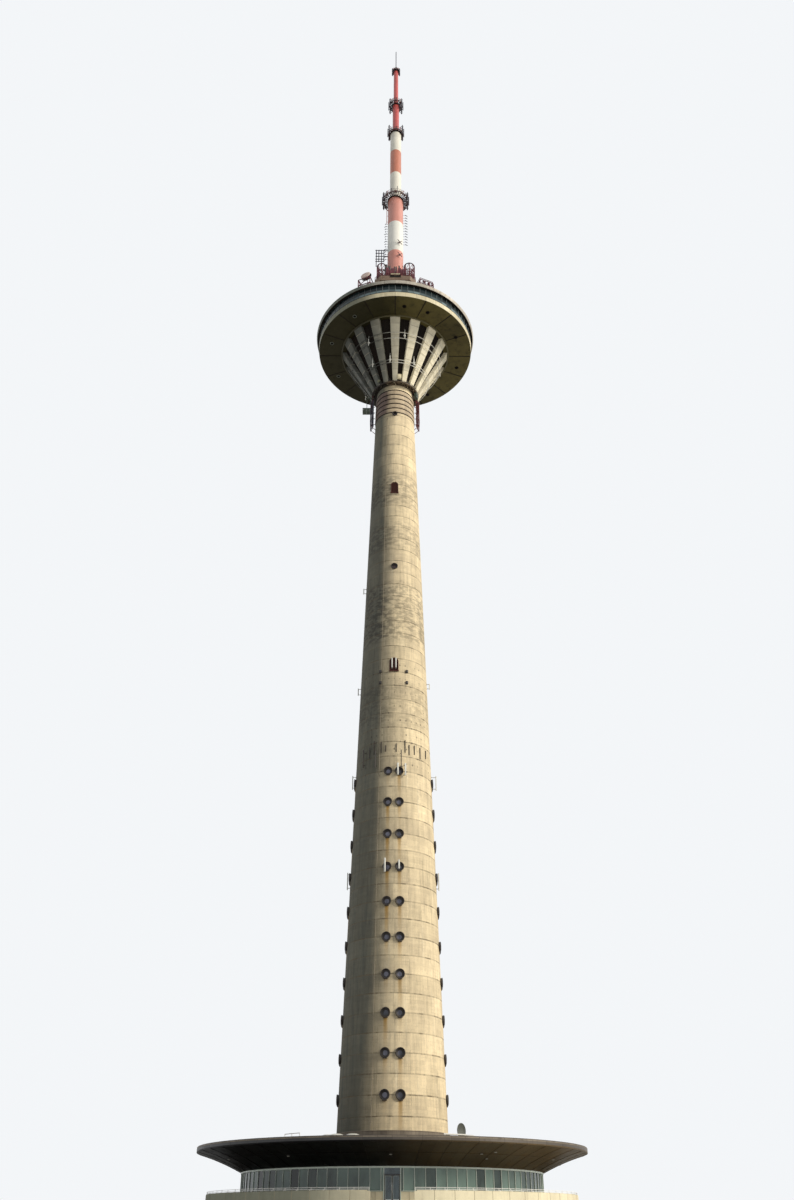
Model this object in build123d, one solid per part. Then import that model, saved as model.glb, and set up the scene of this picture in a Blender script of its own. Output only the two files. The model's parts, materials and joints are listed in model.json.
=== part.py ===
from build123d import *
import math
import os

# A concrete television and radio tower at a scale of 1:10, in millimetres.
# The origin is at the centre of the base slab's underside, on the tower's axis.
# +Z is up and the entrance faces -Y. A bearing is an angle about the axis,
# counted from the front (-Y) towards +X.

# how far a cutting tool reaches past what it cuts
OVER = 10.0

# podium and terrace
PODIUM_R = 2750.0
PODIUM_WALL = 50.0
BASE_T = 40.0
TERRACE_Z = 500.0
TERRACE_T = 40.0
PARAPET_T = 25.0
PARAPET_H = 110.0
RAIL_BAR = 5.0
RAIL_TOP = 42.0
RAIL_MID = 18.0
RAIL_BAYS = 86

# entrance stair, let into the podium's edge
STAIR_W = 560.0
STAIR_INSET = 190.0
STEPS = 27
TREAD = 29.0
STEP_JOINT = 0.5

# glazed hall, set back from the podium's edge by the terrace
TERRACE_W = 490.0
HALL_R = PODIUM_R - TERRACE_W
DADO_T = 25.0
DADO_H = 120.0
GLASS_T = 3.0
HALL_HEAD_Z = 885.0
HEAD_RAIL_H = 20.0
HEAD_RAIL_OUT = 5.0
MULLIONS = 96
MULLION_W = 7.0
MULLION_D = 20.0

# entrance doors
DOOR_W = 210.0
DOOR_HEAD_Z = 806.0
DOOR_BAR = 9.0
POST_W = 12.0
POST_D = 30.0
LEAF_T = 5.0
LEAF_GAP = 5.0
STILE_W = 9.0
BOTTOM_RAIL_H = 22.0
PIVOT_R = 1.6
PIVOT_GAP = 0.3
PULL_R = 1.2
PULL_L = 110.0
PULL_OFF = 5.0

# saucer roof of the hall
EAVES_OUT = 680.0
EAVES_R = HALL_R + EAVES_OUT
EAVES_Z = 1154.0
EAVES_BULGE = 20.0
FASCIA_H = 46.0
FASCIA_T = 20.0
CEILING_T = 20.0
SOFFIT_T = 15.0
ROOF_T = 15.0
ROOF_TOP_Z = 1330.0
COLLAR_T = 25.0
COLLAR_TOP_Z = 1420.0

# concrete shaft
NECK_Z = 16780.0
FOOT_R = 900.0
NECK_R = 420.4
FOOT_WALL = 50.0
NECK_WALL = 32.0
LIFT_TOPS = (1300.0, 3345.0, 5082.0, 7400.0, 12300.0)

# round windows, in pairs on four sides
PORTHOLE_R = 72.0
PORTHOLE_FIRST_Z = 1898.0
PORTHOLE_STEP = 579.0
PORTHOLE_ROWS = 10
PORTHOLE_SPREAD = 8.0
PANE_T = 4.0
PANE_GAP = 0.3
FRAME_OUT = 24.0
FRAME_W = 8.0

# single openings on the front
ARCH_LOW_Z = 9160.0
ARCH_LOW_H = 280.0
ARCH_LOW_W = 160.0
ROUND_MID_Z = 11590.0
ROUND_MID_R = 66.0
ARCH_HIGH_Z = 13530.0
ARCH_HIGH_H = 290.0
ARCH_HIGH_W = 145.0
ROUND_HIGH_Z = 15840.0
ROUND_HIGH_R = 56.0

# flat white aerials on arms: bearing, middle height, length and how far out they stand
AERIAL_W = 26.0
AERIAL_T = 12.0
ARM_H = 8.0
ARM_PLACE = 0.45
SHAFT_AERIALS = (
    (5.8, 7135.0, 230.0, 45.0), (16.3, 7135.0, 230.0, 45.0), (91.0, 7160.0, 280.0, 80.0),
    (-90.0, 7160.0, 260.0, 50.0), (-17.0, 5390.0, 240.0, 45.0), (-10.4, 5390.0, 240.0, 45.0),
    (6.9, 5390.0, 240.0, 45.0), (94.0, 5350.0, 310.0, 45.0), (-93.0, 5350.0, 300.0, 45.0),
    (90.0, 9150.0, 120.0, 45.0), (-94.0, 9050.0, 150.0, 45.0), (-91.0, 11350.0, 130.0, 45.0),
)

# pipe bands round the neck
BANDS = 5
BAND_LOW_Z = 15900.0
BAND_PITCH = 142.0
BAND_H = 118.0
BAND_OUT = 12.0

# bowed ladder frames on both sides of the neck: (radius, height) of the outer line
LADDER_LINE = ((545.0, 15790.0), (580.0, 15930.0), (574.0, 16150.0), (552.0, 16430.0))
LADDER_FOOT_Z = 15690.0
LADDER_TOP_R = 522.0
LADDER_BAR = 8.0
LADDER_SPREAD = 9.0

# drum aerial and cable box hung under the cone's foot
DRUM_X = -660.0
DRUM_Z = 16330.0
DRUM_R = 78.0
DRUM_L = 180.0
HANGER = 12.0
BOX_BEARING = 72.0
BOX_W = 90.0
BOX_D = 60.0
BOX_H = 160.0

# ribbed cone under the head
CONE_TOP_Z = 18130.0
CONE_RIB_LOW_R = 547.0
CONE_RIB_TOP_R = 1262.0
CONE_WALL_T = 25.0
RIBS = 16
RIB_D = 88.0
RIB_LOW_W = 102.0
RIB_TOP_W = 232.0
FOOT_RING_H = 30.0
LEDGE_W = 30.0
LEDGE_H = 26.0

# white hoops on stand-offs round the cone
HOOP_Z = (17130.0, 17185.0, 17640.0, 17760.0)
HOOP_BAR = 9.0
HOOP_OUT = 36.0

# round head: the band leans out by the flare, and the roof's edge is out past the band
BAND_TOP_R = 1836.0
BAND_FLARE = 30.0
BAND_LOW_R = BAND_TOP_R - BAND_FLARE
BAND_TOP_Z = 18330.0
BAND_T = 25.0
PANEL_JOINT = 3.0
SOFFIT_PLATE_T = 30.0
SEAT_GAP = 0.4
DECK_TOP_Z = 18230.0
DECK_T = 30.0
WINDOW_HEAD_Z = 18507.0
DECK_POSTS = 80
DECK_POST_W = 9.0
DECK_POST_D = 12.0
DECK_GLASS_IN = 14.0
EDGE_OUT = 31.0
EDGE_FLARE = 15.0
EDGE_LOW_R = BAND_TOP_R + EDGE_OUT
EDGE_TOP_R = EDGE_LOW_R + EDGE_FLARE
EDGE_TOP_Z = 18590.0
EDGE_T = 28.0
HEAD_ROOF_T = 30.0
CORE_R = 422.0
CORE_WALL = 32.0
CORE_TOP_Z = 18990.0
CAP_T = 40.0
CAP_OUT = 25.0

# crown platform, a square with cut corners
PLATFORM_SIDE = 1040.0
PLATFORM_CUT = 150.0
PLATFORM_Z = 20240.0
PLATFORM_T = 20.0
PLATFORM_RIM_H = 140.0
PLATFORM_RIM_T = 10.0
PLATFORM_HUB_T = 12.0
BRACKETS = 8
BRACKET_T = 10.0
BRACKET_DROP = 240.0

# round aerial cages and a ring of pickets on the platform
CAGES = ((-353.0, 124.0), (360.0, 140.0))
CAGE_TOP_Z = 21360.0
CAGE_HOOPS = 4
CAGE_HOOP_PITCH = 230.0
CAGE_POSTS = 8
CAGE_BAR = 7.0
PICKETS = 20
PICKET_R = 250.0
PICKET_BAR = 9.0
PICKET_TOP_Z = 21010.0
PICKET_HOOP_Z = 20860.0

# dishes on the roofs: bearing, middle height above the roof, rim radius and depth
ROOF_ITEM_IN = 136.0
HEAD_DISH = (-23.5, 580.0, 129.0, 60.0)
HALL_DISH = (48.0, 115.0, 100.0, 34.0)
HALL_DISH_IN = 1580.0
DISH_BULGE = 0.72
STAND_BAR = 10.0
STAND_SPREAD = 90.0

# low pipe frame on the head's roof: bearing, width, depth and height
PIPE_FRAME = (24.0, 320.0, 160.0, 400.0)

# steel mast: radius of each tube, its wall and the height where it ends
TUBE_R = (205.0, 155.0, 93.0, 68.0)
TUBE_WALL = (4.0, 4.0, 3.0, 3.0)
TUBE_TOP_Z = (24000.0, 27050.0, 28500.0, 30300.0)
PAINT_JOINTS = ((21800.0, 22960.0), (25150.0, 26160.0), (), ())
FLANGE_T = 12.0
FLANGE_OUT = (145.0, 65.0, 107.0, 47.0)
PANELS_A_SIDE = (5, 3, 3, 2)
PANEL_SPREAD = 90.0
PANEL_H = (480.0, 420.0, 400.0, 120.0)
PANEL_W = (60.0, 44.0, 44.0, 30.0)
PANEL_D = 20.0
NEEDLE_R = 12.0
NEEDLE_L = 1088.0


def shaft_r(z):
    """Outer radius of the concrete shaft at height z."""
    return FOOT_R + (NECK_R - FOOT_R) * z / NECK_Z


def shaft_wall(z):
    """Thickness of the shaft's wall at height z."""
    return FOOT_WALL + (NECK_WALL - FOOT_WALL) * z / NECK_Z


def bearing(shape, angle):
    """The shape turned about the tower's axis, from the front towards +X."""
    return Rot(0, 0, angle) * shape


def turned(outline):
    """A solid of revolution from a closed outline of (radius, height) points."""
    edges = Polyline(*[(r, 0, z) for r, z in outline], close=True)
    return revolve(make_face(edges), axis=Axis.Z)


def drum(r_out, r_in, z_low, z_high):
    """A plain ring, or a disc where the inner radius is 0."""
    height = z_high - z_low
    ring = Cylinder(r_out, height, align=(Align.CENTER, Align.CENTER, Align.MIN))
    if r_in > 0:
        ring -= Cylinder(r_in, height, align=(Align.CENTER, Align.CENTER, Align.MIN))
    return Pos(0, 0, z_low) * ring


def block(x_size, y_low, y_high, z_low, z_high, x_mid=0.0):
    """A box centred on x_mid, with its other faces at the heights and depths given."""
    return Pos(x_mid, (y_low + y_high) / 2, (z_low + z_high) / 2) * Box(
        x_size, y_high - y_low, z_high - z_low)


def radial_rod(radius, length, r_mid, z):
    """A round rod along the front bearing, with its middle at r_mid."""
    return Pos(0, -r_mid, z) * Rot(90, 0, 0) * Cylinder(radius, length)


def save(name, shapes):
    """Writes one node's solids to its own STEP file."""
    if not isinstance(shapes, list):
        shapes = [shapes]
    solids = [solid for shape in shapes for solid in shape.solids()]
    node = Compound(children=solids) if len(solids) > 1 else solids[0]
    export_step(node, "parts/" + name + ".step")
    print(name, len(solids))


def podium():
    """Base slab, drum wall, terrace floor, parapet, railing and entrance steps."""
    step_rise = TERRACE_Z / STEPS
    notch_y = -(PODIUM_R - STAIR_INSET)
    notch = block(STAIR_W, -PODIUM_R - OVER, notch_y, -OVER, TERRACE_Z + PARAPET_H + OVER)
    well_half = STAIR_W / 2 + PARAPET_T
    well = block(2 * well_half, -PODIUM_R, notch_y + PARAPET_T, 0, TERRACE_Z)
    inside = Cylinder(PODIUM_R, 2 * TERRACE_Z)

    save("base_slab", drum(PODIUM_R, 0, 0, BASE_T) - notch)

    ring = drum(PODIUM_R, PODIUM_R - PODIUM_WALL, BASE_T, TERRACE_Z - TERRACE_T)
    well_walls = (well & inside) & drum(PODIUM_R, 0, BASE_T, TERRACE_Z - TERRACE_T)
    save("podium_wall", ring + well_walls - notch)

    floor_hole = shaft_r(TERRACE_Z - TERRACE_T) + SEAT_GAP
    save("terrace_floor", drum(PODIUM_R, floor_hole, TERRACE_Z - TERRACE_T, TERRACE_Z) - notch)

    parapet_top = TERRACE_Z + PARAPET_H
    parapet = drum(PODIUM_R, PODIUM_R - PARAPET_T, TERRACE_Z, parapet_top)
    returns = block(2 * well_half, -PODIUM_R, notch_y, TERRACE_Z, parapet_top) & inside_top(parapet_top)
    save("parapet_wall", parapet + returns - notch)

    rail_r = PODIUM_R - PARAPET_T / 2
    gap = math.degrees(math.asin((STAIR_W / 2 + PARAPET_T / 2) / rail_r))
    bay = (360 - 2 * gap) / RAIL_BAYS
    angles = [gap + bay * i for i in range(RAIL_BAYS + 1)]
    outer = [rail_point(rail_r + RAIL_BAR / 2, a) for a in angles]
    inner = [rail_point(rail_r - RAIL_BAR / 2, a) for a in angles]
    band = make_face(Polyline(*(outer + inner[::-1]), close=True))
    rails = []
    for height in (RAIL_MID, RAIL_TOP - RAIL_BAR):
        rails.append(Pos(0, 0, parapet_top + height) * extrude(band, RAIL_BAR))
    posts = []
    for a in angles:
        post = block(RAIL_BAR, -rail_r - RAIL_BAR / 2, -rail_r + RAIL_BAR / 2, parapet_top,
                     parapet_top + RAIL_TOP)
        posts.append(bearing(post, a))
    save("terrace_railing", rails[0].fuse(rails[1], *posts))

    steps = []
    for i in range(1, STEPS):
        low_y = notch_y - TREAD * (STEPS - i)
        steps.append(block(STAIR_W, low_y + STEP_JOINT, low_y + TREAD, 0, step_rise * i))
    save("entrance_steps", steps)


def inside_top(z_high):
    """The podium's own cylinder, up to the parapet's top."""
    return drum(PODIUM_R, 0, TERRACE_Z, z_high)


def rail_point(r, angle):
    """A point on the terrace railing, at a radius and a bearing."""
    return (r * math.sin(math.radians(angle)), -r * math.cos(math.radians(angle)))


def glass_ring(radius, panes):
    """Plan of a many-sided ring of flat panes."""
    return RegularPolygon(radius + GLASS_T / 2, panes) - RegularPolygon(radius - GLASS_T / 2, panes)


def hall():
    """Dado, glass, mullions and head rail of the round entrance hall."""
    dado_top = TERRACE_Z + DADO_H
    portal_half = DOOR_W / 2 + POST_W
    doorway = block(2 * portal_half, -HALL_R - OVER, -HALL_R + DADO_T + OVER, 0, HALL_HEAD_Z)
    save("hall_dado", drum(HALL_R, HALL_R - DADO_T, TERRACE_Z, dado_top) - doorway)

    glass_r = HALL_R - DADO_T / 2
    panes = glass_ring(glass_r, MULLIONS)
    save("hall_glass", Pos(0, 0, dado_top) * extrude(panes, HALL_HEAD_Z - dado_top) - doorway)

    rail_in = HALL_R - DADO_T - HEAD_RAIL_OUT
    save("hall_head_rail", drum(HALL_R + HEAD_RAIL_OUT, rail_in, HALL_HEAD_Z, HALL_HEAD_Z + HEAD_RAIL_H))

    mullions = []
    front = glass_r + GLASS_T / 2
    for i in range(1, MULLIONS):
        bar = block(MULLION_W, -front - MULLION_D / 2, -front, dado_top, HALL_HEAD_Z)
        mullions.append(bearing(bar, i * 360 / MULLIONS))
    save("hall_mullions", mullions)


def entrance():
    """Portal posts, transom and two hinged door leaves."""
    mid_y = -(HALL_R - DADO_T / 2)
    near_y = mid_y - POST_D / 2
    far_y = mid_y + POST_D / 2
    posts = []
    for side in (-1, 1):
        x_mid = side * (DOOR_W + POST_W) / 2
        posts.append(block(POST_W, near_y, far_y, TERRACE_Z, HALL_HEAD_Z, x_mid))
    bar_top = DOOR_HEAD_Z + DOOR_BAR
    bar = block(DOOR_W, mid_y - POST_D / 3, mid_y + POST_D / 3, DOOR_HEAD_Z, bar_top)
    save("portal_posts", posts)
    save("door_head_bar", bar)
    save("transom_glass", block(DOOR_W, mid_y - GLASS_T / 2, mid_y + GLASS_T / 2, bar_top, HALL_HEAD_Z))

    leaf_w = DOOR_W / 2 - LEAF_GAP * 1.5
    leaf_low = TERRACE_Z + LEAF_GAP
    leaf_top = DOOR_HEAD_Z - LEAF_GAP
    for side, name in ((-1, "left"), (1, "right")):
        x_mid = side * (leaf_w + LEAF_GAP) / 2
        leaf = block(leaf_w, mid_y - LEAF_T / 2, mid_y + LEAF_T / 2, leaf_low, leaf_top, x_mid)
        light = block(leaf_w - 2 * STILE_W, mid_y - LEAF_T, mid_y + LEAF_T, leaf_low + BOTTOM_RAIL_H,
                      leaf_top - STILE_W, x_mid)
        pivot_x = side * (DOOR_W / 2 - LEAF_GAP - STILE_W / 2)
        low_pin = Cylinder(PIVOT_R, LEAF_GAP - PIVOT_GAP, align=(Align.CENTER, Align.CENTER, Align.MAX))
        top_pin = Cylinder(PIVOT_R, LEAF_GAP - PIVOT_GAP, align=(Align.CENTER, Align.CENTER, Align.MIN))
        pins = [Pos(pivot_x, mid_y, leaf_low) * low_pin, Pos(pivot_x, mid_y, leaf_top) * top_pin]
        save("door_leaf_" + name, (leaf - light).fuse(*pins))
        pane = block(leaf_w - 2 * STILE_W, mid_y - GLASS_T / 2, mid_y + GLASS_T / 2,
                     leaf_low + BOTTOM_RAIL_H, leaf_top - STILE_W, x_mid)
        save("door_pane_" + name, pane)
        pull_x = side * (LEAF_GAP + STILE_W) / 2
        pull_z = (leaf_low + leaf_top) / 2
        face_y = mid_y - LEAF_T / 2
        bar_y = face_y - PULL_OFF
        pull = Pos(pull_x, bar_y, pull_z) * Cylinder(PULL_R, PULL_L)
        for end in (-1, 1):
            stub = block(PULL_R, bar_y, face_y, pull_z + end * PULL_L / 3 - PULL_R,
                         pull_z + end * PULL_L / 3 + PULL_R, pull_x)
            pull += stub
        save("door_pull_" + name, pull)


def hall_roof():
    """Ceiling, curved soffit, fascia, roof skin and the collar round the shaft."""
    head_z = HALL_HEAD_Z + HEAD_RAIL_H
    start_r = HALL_R + HEAD_RAIL_OUT
    ceiling_in = shaft_r(head_z) + SEAT_GAP
    save("hall_ceiling", drum(start_r, ceiling_in, head_z, head_z + CEILING_T))

    mid_r = (start_r + EAVES_R) / 2
    mid_z = (head_z + EAVES_Z) / 2 + EAVES_BULGE
    low = ThreePointArc((start_r, 0, head_z), (mid_r, 0, mid_z), (EAVES_R, 0, EAVES_Z))
    high = ThreePointArc((start_r, 0, head_z + SOFFIT_T), (mid_r, 0, mid_z + SOFFIT_T),
                         (EAVES_R, 0, EAVES_Z + SOFFIT_T))
    outline = Curve() + [low, Line(low @ 1, high @ 1), high, Line(high @ 0, low @ 0)]
    save("roof_soffit", revolve(make_face(outline), axis=Axis.Z))

    rim_z = EAVES_Z + FASCIA_H
    save("roof_fascia", drum(EAVES_R, EAVES_R - FASCIA_T, EAVES_Z + SOFFIT_T, rim_z))

    inner_r = shaft_r(ROOF_TOP_Z - ROOF_T) + SEAT_GAP
    save("roof_skin", turned([(EAVES_R, rim_z), (EAVES_R, rim_z + ROOF_T), (inner_r, ROOF_TOP_Z),
                              (inner_r, ROOF_TOP_Z - ROOF_T)]))

    low_r = shaft_r(ROOF_TOP_Z) + SEAT_GAP
    high_r = shaft_r(COLLAR_TOP_Z) + SEAT_GAP
    save("shaft_collar", turned([(low_r, ROOF_TOP_Z), (low_r + COLLAR_T, ROOF_TOP_Z),
                                 (high_r + COLLAR_T, COLLAR_TOP_Z), (high_r, COLLAR_TOP_Z)]))


def lift_ring(z_low, z_high):
    """One lift of the tapered hollow shaft, between two heights."""
    return turned([(shaft_r(z_low), z_low), (shaft_r(z_high), z_high),
                   (shaft_r(z_high) - shaft_wall(z_high), z_high),
                   (shaft_r(z_low) - shaft_wall(z_low), z_low)])


def arch_face(width, height):
    """An upright face with a round head, standing on the sketch's origin."""
    spring = height - width / 2
    return Pos(0, spring / 2) * Rectangle(width, spring) + Pos(0, spring) * Circle(width / 2)


def arch_tool(width, height, z, length):
    """A prism with an arched section, run through the front of the shaft at height z."""
    plane = Plane(origin=(0, -shaft_r(z) - length / 2, z), x_dir=(1, 0, 0), z_dir=(0, -1, 0))
    return extrude(plane * arch_face(width, height), -length)


def shaft():
    """The shaft's lifts, with round windows in pairs and single openings on the front."""
    bearings = [side * 90 + sign * PORTHOLE_SPREAD for side in range(4) for sign in (-1, 1)]
    rows = [PORTHOLE_FIRST_Z + PORTHOLE_STEP * i for i in range(PORTHOLE_ROWS)]
    levels = (BASE_T,) + LIFT_TOPS + (NECK_Z,)
    names = ("shaft_foot", "shaft_lift_1", "shaft_lift_2", "shaft_lift_3", "shaft_lift_4", "shaft_lift_5")
    through = 3 * FOOT_WALL
    for name, z_low, z_high in zip(names, levels, levels[1:]):
        ring = lift_ring(z_low, z_high)
        holes = []
        for z in rows:
            if z_low < z < z_high:
                tool = radial_rod(PORTHOLE_R, through, shaft_r(z), z)
                holes += [bearing(tool, angle) for angle in bearings]
        for z, radius in ((ROUND_MID_Z, ROUND_MID_R), (ROUND_HIGH_Z, ROUND_HIGH_R)):
            if z_low < z < z_high:
                holes.append(radial_rod(radius, through, shaft_r(z), z))
        for z, w, h in ((ARCH_LOW_Z, ARCH_LOW_W, ARCH_LOW_H), (ARCH_HIGH_Z, ARCH_HIGH_W, ARCH_HIGH_H)):
            if z_low < z < z_high:
                holes.append(arch_tool(w, h, z, through))
        save(name, ring.cut(*holes) if holes else ring)

    panes = []
    frames = []
    for z in rows:
        pane_r = shaft_r(z) - shaft_wall(z) / 2
        pane = radial_rod(PORTHOLE_R - PANE_GAP, PANE_T, pane_r, z)
        panes += [bearing(pane, angle) for angle in bearings]
        frame = porthole_frame(PORTHOLE_R - PANE_GAP, pane_r + PANE_T / 2, z)
        frames += [bearing(frame, angle) for angle in bearings]
    for z, radius in ((ROUND_MID_Z, ROUND_MID_R), (ROUND_HIGH_Z, ROUND_HIGH_R)):
        pane_r = shaft_r(z) - shaft_wall(z) / 2
        panes.append(radial_rod(radius - PANE_GAP, PANE_T, pane_r, z))
        frames.append(porthole_frame(radius - PANE_GAP, pane_r + PANE_T / 2, z))
    save("porthole_panes", panes)
    save("porthole_frames", frames)

    shutters = []
    for z, w, h in ((ARCH_LOW_Z, ARCH_LOW_W, ARCH_LOW_H), (ARCH_HIGH_Z, ARCH_HIGH_W, ARCH_HIGH_H)):
        face_r = shaft_r(z + h) - shaft_wall(z + h) / 2
        plane = Plane(origin=(0, -face_r, z + PANE_GAP), x_dir=(1, 0, 0), z_dir=(0, -1, 0))
        shutters.append(extrude(plane * arch_face(w - 2 * PANE_GAP, h - 2 * PANE_GAP), -PANE_T))
    save("arch_shutters", shutters)


def porthole_frame(radius, back_r, z):
    """The lining tube of a round window on the front, from its pane to a rim out past the concrete."""
    length = shaft_r(z) + FRAME_OUT - back_r
    tube = radial_rod(radius, length, back_r + length / 2, z)
    return tube - radial_rod(radius - FRAME_W, length + OVER, back_r + length / 2, z)


def aerials():
    """Flat white aerials, each held off the shaft by two arms."""
    pieces = []
    for angle, z, length, out in SHAFT_AERIALS:
        face_r = shaft_r(z) + out
        panel = block(AERIAL_W, -face_r - AERIAL_T, -face_r, z - length / 2, z + length / 2)
        for end in (-1, 1):
            arm_z = z + end * ARM_PLACE * length
            arm_in = shaft_r(arm_z - ARM_H / 2) + SEAT_GAP
            panel += block(ARM_H, -face_r - AERIAL_T / 2, -arm_in, arm_z - ARM_H / 2, arm_z + ARM_H / 2)
        pieces.append(bearing(panel, angle))
    save("shaft_aerials", pieces)


def neck():
    """Pipe bands round the shaft, just under the cone."""
    bands = []
    slope = BAND_H / 4
    for i in range(BANDS):
        low = BAND_LOW_Z + i * BAND_PITCH
        top = low + BAND_H
        bands.append(turned([(shaft_r(low) + SEAT_GAP, low),
                             (shaft_r(low + slope) + BAND_OUT, low + slope),
                             (shaft_r(top - slope) + BAND_OUT, top - slope),
                             (shaft_r(top) + SEAT_GAP, top)]))
    save("neck_bands", bands)


def neck_frames():
    """A bowed ladder frame on each side of the neck, from the shaft up to the cone's foot ring."""
    ring_low = NECK_Z - FOOT_RING_H
    foot_top = LADDER_FOOT_Z + 2 * LADDER_BAR
    outer = [(shaft_r(LADDER_FOOT_Z) + SEAT_GAP, LADDER_FOOT_Z), *LADDER_LINE, (LADDER_TOP_R, ring_low)]
    inner = [(r - LADDER_BAR, z + LADDER_BAR / 2) for r, z in LADDER_LINE]
    inner = [(shaft_r(foot_top) + SEAT_GAP, foot_top), *inner, (LADDER_TOP_R - LADDER_BAR, ring_low)]
    side = Plane(origin=(LADDER_BAR / 2, 0, 0), x_dir=(0, -1, 0), z_dir=(-1, 0, 0))
    bar = extrude(side * make_face(Polyline(*outer, *inner[::-1], close=True)), LADDER_BAR)
    frames = []
    for angle in (-90, 90):
        parts = [bearing(bar, angle - LADDER_SPREAD), bearing(bar, angle + LADDER_SPREAD)]
        for r, z in LADDER_LINE:
            half_w = (r - LADDER_BAR / 2) * math.sin(math.radians(LADDER_SPREAD))
            out_r = (r - LADDER_BAR / 2) * math.cos(math.radians(LADDER_SPREAD))
            rung = block(2 * half_w, -out_r - LADDER_BAR / 2, -out_r + LADDER_BAR / 4, z, z + LADDER_BAR)
            parts.append(bearing(rung, angle))
        frames.append(parts[0].fuse(*parts[1:]))
    save("neck_frames", frames)


def neck_items():
    """A drum aerial on a hanger to the left and a cable box to the right, under the cone's foot ring."""
    ring_low = NECK_Z - FOOT_RING_H
    ring_mid_r = (CONE_RIB_LOW_R + shaft_r(ring_low)) / 2
    drum_aerial = Pos(DRUM_X, 0, DRUM_Z) * Rot(0, 90, 0) * Cylinder(DRUM_R, DRUM_L)
    arm = block(-DRUM_X - ring_mid_r, -HANGER / 2, HANGER / 2, ring_low - HANGER, ring_low,
                (DRUM_X - ring_mid_r) / 2)
    drop = block(HANGER, -HANGER / 2, HANGER / 2, DRUM_Z, ring_low, DRUM_X + HANGER / 2)
    cable_box = block(BOX_W, -CONE_RIB_LOW_R, BOX_D - CONE_RIB_LOW_R, ring_low - BOX_H, ring_low)
    save("neck_items", [drum_aerial.fuse(arm, drop), bearing(cable_box, BOX_BEARING)])


def cone():
    """Foot ring, dark wall, ribs and ledge of the cone that carries the head."""
    ring_low = NECK_Z - FOOT_RING_H
    save("cone_foot_ring", drum(CONE_RIB_LOW_R, shaft_r(ring_low) + SEAT_GAP, ring_low, NECK_Z))

    wall_low = CONE_RIB_LOW_R - RIB_D
    wall_top = CONE_RIB_TOP_R - RIB_D
    save("cone_wall", turned([(wall_low, NECK_Z), (wall_top, CONE_TOP_Z),
                              (wall_top - CONE_WALL_T, CONE_TOP_Z), (wall_low - CONE_WALL_T, NECK_Z)]))

    low = Plane(origin=(0, -(CONE_RIB_LOW_R - RIB_D / 2), NECK_Z)) * Rectangle(RIB_LOW_W, RIB_D)
    top = Plane(origin=(0, -(CONE_RIB_TOP_R - RIB_D / 2), CONE_TOP_Z)) * Rectangle(RIB_TOP_W, RIB_D)
    rib = loft([low, top], ruled=True)
    save("cone_ribs", [bearing(rib, i * 360 / RIBS) for i in range(RIBS)])

    hoops = []
    for z in HOOP_Z:
        rib_r = CONE_RIB_LOW_R + (CONE_RIB_TOP_R - CONE_RIB_LOW_R) * (z - NECK_Z) / (CONE_TOP_Z - NECK_Z)
        hoop = drum(rib_r + HOOP_OUT + HOOP_BAR, rib_r + HOOP_OUT, z, z + HOOP_BAR)
        stub = block(HOOP_BAR, -rib_r - HOOP_OUT - HOOP_BAR / 2, -rib_r + HOOP_OUT, z, z + HOOP_BAR) - rib
        hoops.append(hoop.fuse(*[bearing(stub, i * 360 / RIBS) for i in range(RIBS)]))
    save("cone_hoops", hoops)

    ledge_in = math.hypot(CONE_RIB_TOP_R, RIB_TOP_W / 2) + SEAT_GAP
    save("cone_ledge", drum(ledge_in + LEDGE_W, ledge_in, CONE_TOP_Z - LEDGE_H, CONE_TOP_Z))


def band_r(z):
    """Outer radius of the head's sloping band at height z."""
    return BAND_LOW_R + (BAND_TOP_R - BAND_LOW_R) * (z - CONE_TOP_Z) / (BAND_TOP_Z - CONE_TOP_Z)


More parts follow.
